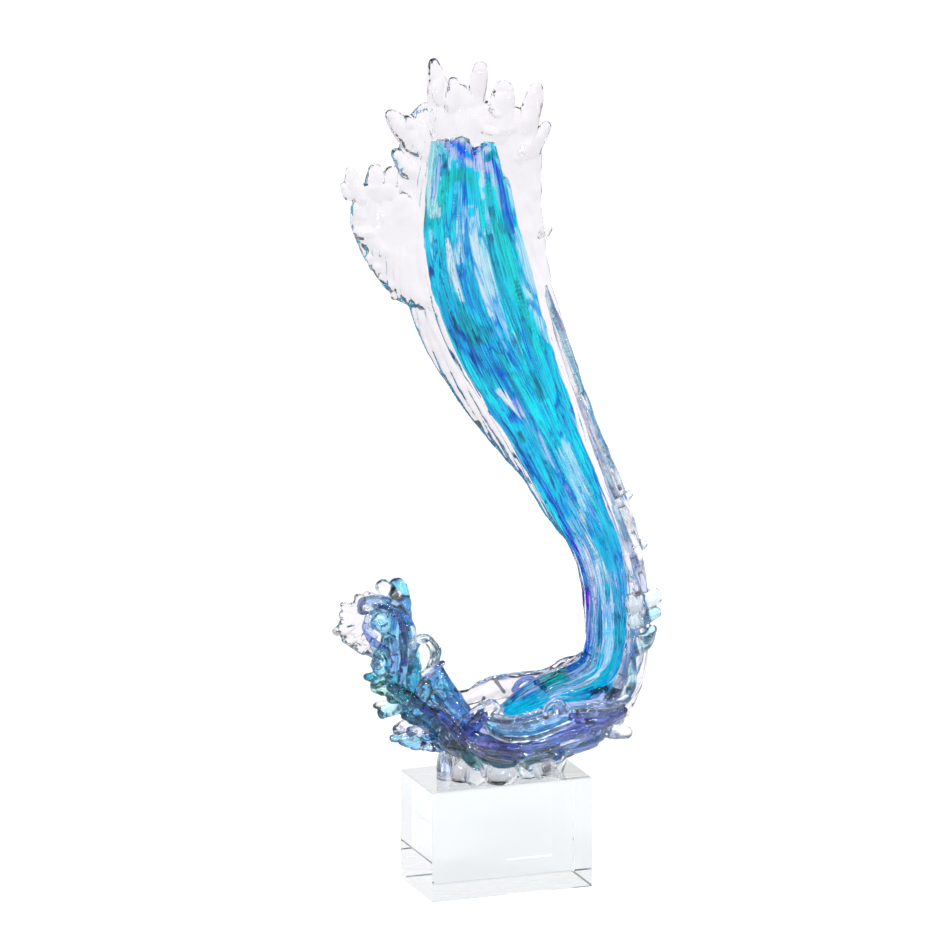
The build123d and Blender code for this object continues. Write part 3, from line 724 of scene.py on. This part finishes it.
trough = {
    "sections": (  # column, row, half depth, half height, in mm
        (420, 692, 26, 18), (430, 708, 34, 22), (446, 724, 45, 25), (478, 735, 54, 27), (515, 736, 56, 27),
        (553, 729, 53, 28), (587, 714, 45, 29), (606, 698, 34, 28), (617, 688, 24, 22),
    ),
    "wall": 8,  # mm
    "rings": 110,
    "closedRings": (6, 12),  # rings at each end without a hollow, and those over which it opens
    "endRings": 8,  # over which each end shrinks
    "tint": "#A6C2EE",
    "rods": (
        ("#5C68C8", 0.8, (450, 722, 5), (478, 745, 6), (520, 752, 6), (560, 740, 5), (600, 720, 4)),
        ("#6AB4E0", 0.7, (440, 712, 5), (470, 728, 6), (500, 734, 5)),
        ("#0E94A8", 0.9, (463, 750, 6), (472, 760, 7), (480, 766, 5)),
        ("#0C8CA6", 0.9, (488, 758, 7), (500, 764, 7), (512, 764, 6)),
        ("#109088", 0.9, (524, 762, 5), (538, 756, 6), (552, 748, 4)),
    ),
}


def buildTrough():
    # A boat-shaped bowl: each section is a crescent, closed end to end
    rows = [list(place(c, r, 0)) + [d * mm, h * mm] for c, r, d, h in trough["sections"]]
    run = smoothRun(rows, trough["rings"])
    along = np.gradient(run[:, :3], axis=0)
    along[:, 1] = 0
    upward = np.cross((0, -1, 0), unit(along))
    upward[upward[:, 2] < 0] *= -1
    around = np.linspace(0, math.pi, 40)
    rings = []
    wall = trough["wall"] * mm
    closed, opening = trough["closedRings"]
    for k, (row, rise) in enumerate(zip(run, upward)):
        end = min(k, len(run) - 1 - k)  # rings from the nearer end
        size = min(1.0, 0.35 + 0.65 * (end / trough["endRings"]))
        hollow = max(0.0, min(1.0, (end - closed) / opening))
        outer = [(math.cos(a) * row[3], -math.sin(a) * row[4]) for a in around]
        inner = []
        for a in around[::-1]:
            deep = -math.sin(a) * (row[4] - wall) * 0.75
            full = math.sin(a) * row[4] * 0.3
            inner.append((math.cos(a) * (row[3] - wall * 0.6), deep * hollow + full * (1 - hollow)))
        section = np.array(outer + inner) * size
        rings.append(row[:3] + section[:, :1] * np.array((0, 1, 0)) + section[:, 1:] * rise)
    piece = fused("trough_glass", [(np.concatenate(rings), ringFaces(len(rings), len(rings[0])))], 1.3, 8)
    ripple(piece, 13, 1.1, 31)
    length, _, _ = flowOn(piece, [[(c, r, 0, d, h) for c, r, d, h in trough["sections"]]])
    points = readPoints(piece)
    storeFlow(piece, length, points[:, 1] / (40 * mm))
    storeTint(piece, np.tile(linear(trough["tint"]), (len(points), 1)), trough["rods"])
    finishPiece(piece, "deep", "indigo_glass", "trough_bowl")
    print("trough built")


clearTint = "#F1EFF3"
lipWork = {"grain": 0.9, "smoothing": 2, "ripple": 0.4, "size": 7}
curlWork = {"grain": 0.9, "smoothing": 2, "ripple": 0.5, "size": 6}

gathers = {}
gathers["back_wall_glass"] = {
    "nodes": ("back_wall",), "grain": 1.2, "cased": 0, "ripple": 0.7, "size": 14, "material": "clear",
    "square": 1.3,
    "strands": (
        ("#F0EEF2", (446, 702, 49, 9, 7), (472, 697, 54, 9, 8), (490, 690, 56, 13, 8),
         (508, 688, 56, 14, 8), (530, 686, 55, 15, 8), (552, 681, 50, 15, 8), (572, 671, 44, 17, 8),
         (588, 662, 36, 12, 7)),
        ("#F0EEF2", (486, 696, 52, 9, 8), (496, 688, 52, 10, 8), (506, 684, 53, 8, 7)),
    ),
}
gathers["lip_upper_glass"] = {
    "nodes": ("lip_rope_upper",), **lipWork, "cased": 0.75, "rim": 0.55,
    "strands": (
        ("#7FBCEC", (488, 722, -44, 6, 7), (500, 728, -47, 8), (516, 730, -49, 8), (536, 727, -50, 8),
         (556, 720, -49, 7), (572, 714, -47, 6)),
        ("#4A68C8", 2, (489, 719, -50), (505, 722, -53), (524, 719, -54), (541, 713, -54)),
        ("#F2F4FA", 2, (494, 715, -48), (508, 718, -50), (526, 715, -50), (540, 710, -50)),
        ("#D4E0F8", 3, (546, 717, -54), (546, 708, -55), (553, 702, -55), (562, 704, -55), (566, 710, -54),
         (561, 716, -54)),
        ("#7FA0E8", 2, (553, 713, -56), (555, 708, -57), (560, 708, -57), (561, 713, -56)),
        ("#E6ECF8", (566, 707, -48, 4), (583, 706, -46, 5), (600, 706, -42, 5), (614, 706, -38, 5),
         (628, 699, -34, 4)),
        ("#4A5CA8", 2, (570, 712, -52), (590, 711, -51), (608, 712, -47), (624, 706, -41)),
        ("#C4D0F2", 3, (562, 716, -53), (580, 716, -54), (600, 716, -50), (618, 712, -44)),
    ),
    "rods": (
        ("#19A8E6", 0.9, (491, 722, 3), (494, 728, 3)),
        ("#2A9CC8", 0.6, (506, 732, 2), (530, 731, 2), (550, 725, 2)),
        ("#C8E4F8", 0.8, (500, 726, 1), (522, 727, 1), (545, 721, 1)),
    ),
}
gathers["lip_violet_glass"] = {
    "nodes": ("lip_rope_violet",), "slot": "violet_glass", "cased": 0.6, "rim": 0.75, "grain": 1.0,
    "strands": (
        ("#3C48B4", (622, 714, -34, 5, 6), (604, 723, -42, 6, 8), (580, 729, -48, 7, 9),
         (558, 736, -51, 8, 10), (536, 743, -52, 8, 10), (512, 747, -52, 8, 10), (492, 744, -50, 8, 9),
         (474, 737, -46, 8), (458, 726, -40, 7)),
        ("#4450BC", (571, 717, -50, 4, 5), (590, 721, -50, 5, 6), (608, 719, -46, 5), (624, 711, -40, 4)),
        ("#5E6ACC", (500, 752, -48, 4, 5), (530, 753, -48, 4, 5), (556, 747, -46, 4)),
    ),
}
gathers["lip_clear_glass"] = {
    "nodes": ("lip_rope_clear", "lens_drop"), **lipWork, "cased": 0.9, "rim": 0.5,
    "strands": (
        ("#F4F5FA", (484, 722, -52, 2), (488, 731, -56, 2), (500, 738, -59, 3), (520, 740, -61, 3),
         (540, 737, -61, 3), (558, 730, -59, 2), (574, 723, -56, 2)),
        ("#E2E6F6", (468, 740, -52, 2), (484, 751, -56, 2), (508, 754, -59, 3), (540, 751, -59, 3),
         (566, 743, -56, 3), (590, 735, -52, 3), (610, 727, -44, 3)),
        ("#F2F1F5", (596, 730, -42, 7, 8), (606, 732, -43, 7, 8), (616, 733, -44, 7.5, 8),
         (627, 733, -44, 6.5, 7)),
        ("#8FC8F0", (562, 751, -48, 4, 5), (580, 745, -49, 5, 6), (600, 738, -46, 5, 6)),
        ("#E8EEF8", 2, (552, 758, -48), (552, 750, -50), (559, 747, -50), (566, 752, -50), (563, 760, -48),
         (556, 763, -48)),
        ("#D0D8F2", 2, (456, 735, -48), (470, 748, -52), (490, 759, -54), (512, 763, -54)),
        ("#EEF1FA", 2, (520, 746, -61), (544, 744, -61), (570, 736, -58), (596, 726, -52)),
        ("#DCE6F6", (530, 759, -54, 2), (552, 755, -54, 2), (574, 753, -52, 2), (596, 745, -47, 3)),
        ("#C8DCF2", 1.5, (452, 716, -44), (462, 727, -48), (466, 738, -51), (474, 744, -53)),
        ("#E8ECF8", (476, 757, -50, 2), (481, 766, -47, 3), (484, 775, -42, 3)),
        ("#E8ECF8", (514, 756, -54, 2), (522, 764, -50, 3), (530, 769, -44, 3)),
    ),
    "rods": (
        ("#2A90E0", 0.9, (590, 742, 3), (597, 739, 3)), ("#3C7CC8", 0.7, (572, 748, 2), (580, 746, 2)),
    ),
}
gathers["lip_navy_glass"] = {
    "nodes": ("lip_ribbon_navy",), "slot": "indigo_glass", **lipWork, "cased": 0.8, "rim": 0.72,
    "strands": (
        ("#2E3CA0", (462, 742, -44, 5, 6), (455, 732, -43, 5, 7), (447, 721, -40, 6, 7),
         (437, 713, -35, 6, 7), (424, 708, -28, 5, 6), (414, 700, -23, 4, 5)),
        ("#E6EAF8", 2, (422, 703, -32), (436, 705, -38), (448, 713, -43), (456, 725, -47), (461, 738, -49)),
        ("#5260C8", (462, 738, -46, 5), (468, 730, -47, 7), (477, 723, -48, 7), (484, 715, -48, 4, 5)),
        ("#DCE4F6", (456, 728, -50, 2), (461, 719, -51, 2), (470, 712, -52, 2), (482, 705, -52, 3),
         (492, 702, -51, 3), (498, 708, -50, 3), (493, 715, -50, 3)),
        ("#8C9CE4", 3, (466, 716, -49), (474, 720, -51), (480, 712, -52)),
        ("#ECEEF8", (486, 708, -50, 4), (491, 706, -50, 4)),
    ),
}
gathers["trough_belly_glass"] = {
    "nodes": (), "slot": "indigo_glass", "cased": 0.5, "rim": 0.8, "grain": 1.0, "ripple": 0.5,
    "strands": (
        ("#119098", (462, 745, -36, 5, 7), (468, 756, -35, 7), (476, 766, -30, 5, 6)),
        ("#0F8CA4", (488, 757, -42, 7), (500, 762, -40, 8, 7), (512, 762, -39, 6)),
        ("#128E88", (524, 763, -38, 5, 6), (536, 757, -40, 6), (548, 750, -41, 5)),
        ("#3A48AC", (480, 748, -40, 6, 7), (500, 752, -42, 6, 7), (520, 754, -42, 5, 6)),
        ("#2A84DC", (557, 757, -46, 4, 5), (560, 753, -47, 4)),
        ("#5064D8", 3, (514, 691, 22), (519, 683, 22), (528, 679, 22), (537, 683, 20), (545, 690, 18)),
        ("#4A5270", 2, (496, 682, 44), (501, 689, 44), (504, 693, 44)),
    ),
}
gathers["crest_stem_glass"] = {
    "nodes": ("crest_stem",), "slot": "teal_glass", "cased": 0.4, "rim": 0.92, "grain": 1.2,
    "strands": (
        ("#2A9AD8", (452, 728, -3, 21, 26), (428, 706, -4, 22, 26), (405, 682, -5, 20, 21),
         (394, 653, -7, 16, 17), (397, 624, -7, 12, 13), (402, 604, -7, 10)),
        ("#2A48B0", (401, 622, -21, 2, 3), (403, 645, -24, 4), (404, 662, -26, 4), (400, 686, -28, 3, 4)),
        ("#2440B8", (392, 640, -21, 3, 4), (394, 655, -25, 4, 5), (393, 672, -27, 4, 5)),
        ("#1490A0", (392, 688, -26, 7, 6), (404, 696, -29, 8, 6), (420, 704, -32, 6, 5)),
        ("#7FD0F4", (386, 640, -20, 3, 4), (387, 650, -22, 3, 4), (390, 662, -24, 2, 3)),
    ),
    "rods": (
        ("#19B4E0", 0.8, (392, 612, 6), (386, 632, 7), (384, 650, 6)),
        ("#0C7FA8", 0.8, (386, 678, 7), (398, 690, 7), (412, 696, 6)),
    ),
}
gathers["crest_tip_glass"] = {
    "nodes": ("crest_tip_lobe", "crest_clear_lobe"), "slot": "teal_glass", "cased": 0.3, "rim": 0.92,
    "strands": (
        ("#22C2EE", (406, 620, -7, 6, 8), (403, 606, -5, 8, 9), (399, 592, -4, 10), (397, 586, -4, 11, 9)),
        (clearTint, (402, 608, -11, 7), (391, 596, -13, 10, 9), (383, 587, -13, 10, 8)),
    ),
    "rods": (
        ("#1450C8", 0.95, (391, 580, 3), (398, 580, 4)), (clearTint, 0.9, (386, 590, 5), (390, 596, 4)),
        ("#2450D0", 0.9, (405, 594, 2), (408, 604, 3), (409, 618, 3)),
        ("#6A74E4", 0.8, (401, 598, 1), (403, 612, 2)),
    ),
}
gathers["crest_hook_glass"] = {
    "nodes": ("crest_hook",), "cased": 0.6, "rim": 0.7, "grain": 0.9, "smoothing": 2,
    "strands": (
        ("#86B4E8", (409, 660, -14, 4, 5), (411, 644, -14, 5, 6), (409, 627, -15, 6), (402, 613, -18, 6),
         (391, 604, -20, 6), (378, 600, -20, 5), (368, 601, -19, 4)),
        ("#3038A0", (404, 664, -20, 2, 3), (406, 646, -22, 2, 3), (403, 629, -23, 3), (397, 616, -25, 3),
         (387, 608, -26, 2, 3), (374, 606, -25, 2)),
        ("#2C64B8", (413, 650, -18, 2), (413, 632, -19, 2), (406, 615, -21, 2, 3), (395, 603, -24, 2, 3),
         (380, 597, -24, 2), (368, 598, -22, 2)),
        ("#1FA8C4", (409, 656, -20, 2, 3), (409, 640, -21, 3), (406, 626, -22, 3)),
        ("#2A3888", (370, 599, -20, 3), (363, 600, -19, 3), (360, 606, -18, 3), (362, 612, -17, 3),
         (368, 613, -17, 2, 3)),
        ("#DCE8F8", (366, 607, -20, 3), (374, 604, -21, 3)),
    ),
}
gathers["crest_upper_curl_glass"] = {
    "nodes": ("crest_curl_upper",), **curlWork, "cased": 0.5, "rim": 0.8,
    "strands": (
        ("#3CB8EC", (377, 614, -17, 9, 6), (381, 621, -17, 12, 7), (384, 629, -17, 9, 6)),
        ("#1470C0", (371, 613, -21, 2, 3), (380, 608, -22, 3), (389, 611, -23, 4, 3), (394, 620, -23, 4, 3),
         (391, 630, -22, 3), (383, 635, -21, 2, 3)),
        ("#0E6AA8", (374, 624, -22, 2), (380, 629, -24, 3), (387, 626, -24, 3), (388, 619, -24, 2)),
        # A near-white spot on the curl's front: a painted highlight
        ("#F2F5FA", (376, 619, -23, 3), (381, 616, -24, 4, 3), (384, 619, -24, 3)),
        ("#C8DCF6", (369, 613, -19, 2), (366, 621, -19, 3), (368, 630, -18, 3), (375, 636, -18, 3)),
        ("#6274DC", (365, 625, -17, 3), (367, 635, -18, 3), (375, 643, -19, 4), (386, 649, -20, 3)),
    ),
}
gathers["crest_lower_curl_glass"] = {
    "nodes": ("crest_curl_lower",), **curlWork, "cased": 0.5, "rim": 0.8,
    "strands": (
        ("#4CC8EA", (378, 656, -17, 9, 6), (380, 663, -17, 11, 7), (380, 671, -17, 9, 6)),
        ("#A8E6F6", (372, 642, -17, 3, 4), (375, 650, -19, 3, 4), (384, 652, -21, 3), (391, 660, -21, 3),
         (389, 670, -21, 3), (381, 675, -20, 3)),
        # A near-white spot on the curl's front: a painted highlight
        ("#F0EEF8", (374, 662, -23, 4, 3), (378, 665, -24, 5, 4), (382, 663, -23, 4, 3)),
        ("#3E468C", 1.4, (375, 659, -26), (379, 661, -27), (381, 666, -27)),
        ("#22AFCC", (372, 676, -17, 4), (367, 677, -17, 4)),
    ),
}
gathers["crest_arch_glass"] = {
    "nodes": ("crest_arch", "crest_bead"), **curlWork, "cased": 0.6, "rim": 0.7,
    "strands": (
        ("#E2EEF4", (411, 662, -22, 4, 5), (412, 650, -25, 5, 6), (417, 641, -28, 5, 6),
         (426, 639, -29, 5, 6), (433, 646, -29, 5, 6), (435, 656, -28, 5, 6), (431, 666, -27, 4, 5),
         (424, 674, -26, 4)),
        ("#B4DCE8", (414, 640, -31, 1.5, 2), (424, 635, -33, 1.5, 2), (434, 641, -33, 1.5, 2),
         (440, 652, -32, 1.5, 2), (437, 664, -30, 1.5, 2)),
        ("#E6EDF4", (423, 642, -20, 8, 4), (425, 656, -20, 11, 5), (422, 670, -20, 8, 4)),
        ("#34B8C8", (411, 690, -16, 6, 5), (413, 676, -19, 9, 7), (415, 664, -20, 9, 6),
         (417, 654, -20, 6, 4)),
        ("#C4ECEC", (413, 676, -25, 3, 2), (414, 668, -25, 3, 2)),
        ("#F3F1F6", (421, 698, -28, 8), (424, 689, -30, 9, 8), (424, 684, -31, 6)),
        ("#6878E0", (442, 663, -28, 3, 4), (433, 670, -30, 4), (425, 679, -31, 3, 4)),
        ("#F0F2F8", 2, (430, 694, -35), (438, 690, -36), (446, 696, -37), (444, 705, -38), (435, 707, -38),
         (430, 700, -36)),
        ("#58AEEE", (437, 698, -33, 4, 3), (439, 701, -34, 4, 3)),
        ("#E4EAF6", 2, (444, 690, -32), (456, 696, -36), (465, 706, -42), (472, 716, -46)),
        ("#DDE6F6", (447, 702, -38, 4), (454, 708, -42, 5), (461, 714, -45, 4)),
    ),
}
gathers["crest_flank_glass"] = {
    "nodes": ("crest_flank",), "slot": "indigo_glass", "cased": 0.4, "rim": 0.9,
    "strands": (
        ("#3490DC", (468, 728, -26, 13, 15), (454, 708, -25, 14, 16), (444, 690, -22, 12, 14),
         (439, 676, -20, 9, 11), (437, 668, -19, 6, 8)),
    ),
    "rods": (
        ("#1FA4C8", 0.8, (441, 682, 3), (446, 690, 4)), ("#5A6CE0", 0.7, (434, 682, 2), (438, 690, 3)),
    ),
}
gathers["crest_spray_glass"] = {
    "nodes": ("crest_spray", "spray_bead_left", "spray_bead_upper", "spray_bead_lower"), "cased": 0,
    "material": "clear", "ripple": 0.9, "size": 7, "square": 1.2,
    "strands": (
        (clearTint, (392, 648, 0, 15, 9), (372, 638, 3, 20, 8), (357, 627, 4, 21, 7), (344, 615, 5, 18, 6)),
        (clearTint, (350, 625, 2, 8, 7), (339, 631, 0, 7, 6)),
        (clearTint, (354, 614, 4, 10, 6), (345, 606, 3, 9, 5)),
        (clearTint, (366, 608, 3, 10, 6), (358, 598, 3, 9, 5)),
        (clearTint, (376, 604, 2, 8, 5), (367, 594, 2, 6, 4)),
        (clearTint, (357, 636, 2, 6), (348, 642, 1, 4, 5)), (clearTint, (368, 645, 2, 6), (360, 649, 0, 5)),
    ),
}
gathers["crest_lumps_glass"] = {
    "nodes": ("crest_lump_upper", "crest_lump_lower"), "slot": "teal_glass", **curlWork, "cased": 0.5,
    "rim": 0.75,
    "strands": (
        ("#4CC8D4", (394, 678, -13, 8), (384, 681, -15, 7), (376, 683, -17, 6)),
        ("#8EDCD0", (398, 690, -9, 8), (386, 690, -9, 7), (376, 688, -8, 6)),
        ("#30BFA8", (382, 694, -15, 2, 3), (375, 691, -15, 2, 3), (371, 685, -15, 2)),
        ("#20B4CC", (376, 680, -19, 4), (367, 677, -19, 4)),
        ("#128080", (404, 696, -14, 7), (392, 698, -12, 6)),
    ),
}
gathers["crest_frill_glass"] = {
    "nodes": numbered("crest_frill", 5), "cased": 0.7, "rim": 0.6, "ripple": 0.7, "size": 6, "grain": 0.9,
    "smoothing": 2,
    "strands": (
        ("#7CCCE0", (404, 706, -8, 6), (392, 710, -12, 7), (383, 713, -14, 6)),
        (clearTint, (394, 703, -8, 4, 5), (382, 705, -10, 4, 5), (376, 706, -11, 3)),
        ("#2FA0C0", (412, 704, -16, 5), (402, 707, -18, 4), (394, 712, -18, 3)),
        ("#138694", (428, 720, -12, 8), (416, 719, -14, 7), (406, 716, -15, 5)),
        ("#DCDEEE", (412, 726, 0, 8), (402, 729, 2, 8), (399, 731, 2, 7)),
        ("#5A60A4", 2, (401, 727, -6), (404, 731, -6), (400, 733, -6)),
        ("#C8D0EC", (428, 728, -16, 6), (418, 732, -18, 6), (411, 732, -18, 5)),
        ("#34A8D0", (408, 736, -8, 5), (398, 739, -9, 4), (393, 738, -9, 4)),
        ("#3C9CD8", (416, 740, -14, 5), (407, 743, -15, 5), (402, 743, -15, 4)),
        ("#6CB0E4", (426, 743, -14, 5), (418, 746, -15, 5), (413, 746, -15, 4)),
        ("#B4CCEC", (440, 744, -10, 6), (431, 748, -10, 5), (424, 748, -10, 4)),
        ("#2E8CC0", (440, 736, -20, 5), (426, 738, -22, 4), (412, 738, -20, 3)),
        ("#E8ECF6", (446, 740, -26, 3), (432, 740, -26, 2, 3), (418, 736, -24, 2)),
        ("#7FB8D8", (446, 742, -5, 8), (438, 747, -4, 6)),
    ),
}
gathers["foot_glass"] = {
    "nodes": numbered("foot_gather", 8), "cased": 0.0, "ripple": 0.6, "size": 12, "grain": 1.2,
    "smoothing": 3, "floor": 113.6,
    "strands": (
        ("#D4E0F2", (450, 776, 0, 13, 14), (452, 762, 0, 15, 16), (458, 744, 0, 14)),
        (clearTint, (461, 781, -14, 8, 9), (460, 774, -14, 10), (464, 764, -12, 9)),
        (clearTint, (478, 783, -30, 9), (475, 776, -30, 12), (476, 765, -28, 11)),
        (clearTint, (505, 784, -34, 14, 10), (503, 777, -34, 17, 13), (502, 767, -32, 15, 12)),
        ("#DDEEF3", (534, 783, -28, 9), (531, 774, -28, 10), (522, 762, -26, 8, 9)),
        (clearTint, (550, 780, -20, 9), (547, 770, -20, 10), (538, 758, -18, 8, 9)),
        ("#E4F0F5", (556, 772, -12, 6, 8), (559, 762, -12, 8, 9), (564, 750, -14, 6, 7)),
        (clearTint, (472, 772, 12, 20, 18), (474, 756, 12, 22, 20), (480, 742, 12, 18, 16)),
        (clearTint, (512, 768, 12, 22, 18), (512, 752, 12, 24, 20), (512, 740, 12, 20, 16)),
        (clearTint, (478, 770, 0, 22), (502, 768, 0, 24, 26), (528, 766, 0, 20)),
    ),
    "rods": (
        ("#5C7CC8", 0.8, (443, 756, 1), (444, 768, 2), (446, 777, 1)),
        ("#3C64B0", 0.8, (450, 760, 1), (451, 772, 2)),
        ("#0E8C9C", 0.85, (464, 748, 5), (474, 758, 5), (484, 767, 2)),
        ("#0C8FA0", 0.85, (492, 750, 7), (500, 757, 7)), ("#109088", 0.8, (528, 752, 6), (536, 756, 4)),
        ("#5FB4D0", 0.8, (521, 760, 1), (521, 776, 2), (530, 780, 2)),
    ),
}


def addFloor():
    material, tree = newMaterial("studioFloor")
    # White paper: plain to the eye and through the glass, with the object's soft shadow
    paper = addNode(tree, "BsdfDiffuse", {"Color": (0.5, 0.5, 0.5, 1)})
    glow = addNode(tree, "Emission", {"Color": (1, 1, 1, 1), "Strength": 0.7})
    both = addNode(tree, "AddShader", links={0: (paper, 0), 1: (glow, 0)})
    addNode(tree, "OutputMaterial", links={"Surface": (both, 0)})
    reach = 12  # metres
    corners = [(x * reach, y * reach, 0) for x, y in ((-1, -1), (1, -1), (1, 1), (-1, 1))]
    floor = newObject("floor", corners, [(0, 1, 2, 3)])
    floor.data.materials.append(material)


def addWorld():
    # A white studio with dark flags round it, which draw the thin dark lines in clear glass
    world = bpy.data.worlds.new("studio")
    bpy.context.scene.world = world
    world.use_nodes = True
    tree = world.node_tree
    tree.nodes.clear()
    where = addNode(tree, "TexCoord")
    parts = addNode(tree, "SeparateXYZ", links={0: (where, "Generated")})
    heading = addNode(tree, "Math", {"operation": "ARCTAN2"}, {0: (parts, "X"), 1: (parts, "Y")})
    turned = addNode(tree, "Math", {"operation": "MULTIPLY_ADD", 1: 5.0, 2: 2.4}, {0: (heading, 0)})
    stripe = addNode(tree, "Math", {"operation": "COSINE"}, {0: (turned, 0)})
    flags = addNode(tree, "MapRange", {"From Min": 0.35, "From Max": 0.75, "To Min": 1.0, "To Max": 0.12},
                    {"Value": (stripe, 0)})
    above = addNode(tree, "MapRange", {"From Min": 0.78, "From Max": 0.86, "To Min": 1.0, "To Max": 0.5},
                    {"Value": (parts, "Z")})
    both = addNode(tree, "Math", {"operation": "MULTIPLY"}, {0: (flags, 0), 1: (above, 0)})
    rays = addNode(tree, "LightPath")
    shown = addNode(tree, "Math", {"operation": "MAXIMUM"}, {0: (rays, "Is Camera Ray"), 1: (both, 0)})
    light = addNode(tree, "Background", {"Strength": 1.0}, {"Color": (shown, 0)})
    addNode(tree, "OutputWorld", links={"Surface": (light, 0)})


softboxes = (  # place and size in m, and power in W
    ((-1.6, -1.6, 2.2), 0.35, 26), ((1.8, -1.2, 1.8), 0.3, 16), ((0.4, 1.8, 2.0), 0.4, 12),
    ((-0.5, -2.4, 1.4), 0.25, 16), ((1.0, -2.4, 0.7), 0.2, 8),
)
lampTarget = Vector((0, 0, 0.4))


def addLamps():
    for at, size, power in softboxes:
        data = bpy.data.lights.new("softbox", "AREA")
        data.energy = power
        data.size = size
        lamp = bpy.data.objects.new("softbox", data)
        lamp.location = at
        lamp.rotation_euler = (lampTarget - Vector(at)).to_track_quat("-Z", "Y").to_euler()
        bpy.context.scene.collection.objects.link(lamp)


def buildAdhesive():
    # Clear adhesive pressed out in a thin film under the foot, with a rounded edge
    sides = 96
    around = np.linspace(0, 2 * math.pi, sides, endpoint=False)
    edge = 1 + 0.05 * waves(around * 2.5, around * 0, 8)
    low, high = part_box("adhesive_film")
    rings = [
        np.stack((np.cos(around) * edge * size * high.x, np.sin(around) * edge * size * high.y,
                  np.full(sides, low.z + rise * mm)), 1)
        for size, rise in ((0.85, 0.1), (0.87, 0.25), (0.86, 0.42), (0.84, 0.48))
    ]
    piece = newObject("adhesive_glass", np.concatenate(rings), ringFaces(len(rings), sides))
    finishPiece(piece, "adhesive", "clear_adhesive", "adhesive_film")


def dressPlinth():
    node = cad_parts["crystal_plinth"]
    node.data.materials.clear()
    node.data.materials.append(materials["crystal"])


scene = bpy.context.scene
scene.view_settings.view_transform = "Standard"
scene.cycles.max_bounces = scene.cycles.transmission_bounces = 24

addCamera()
addWorld()
addLamps()
addFloor()
dressPlinth()
buildAdhesive()
buildCore()
buildCasing()
buildRidge()
buildTrough()
for name, made in gathers.items():
    meltGather(name, made)
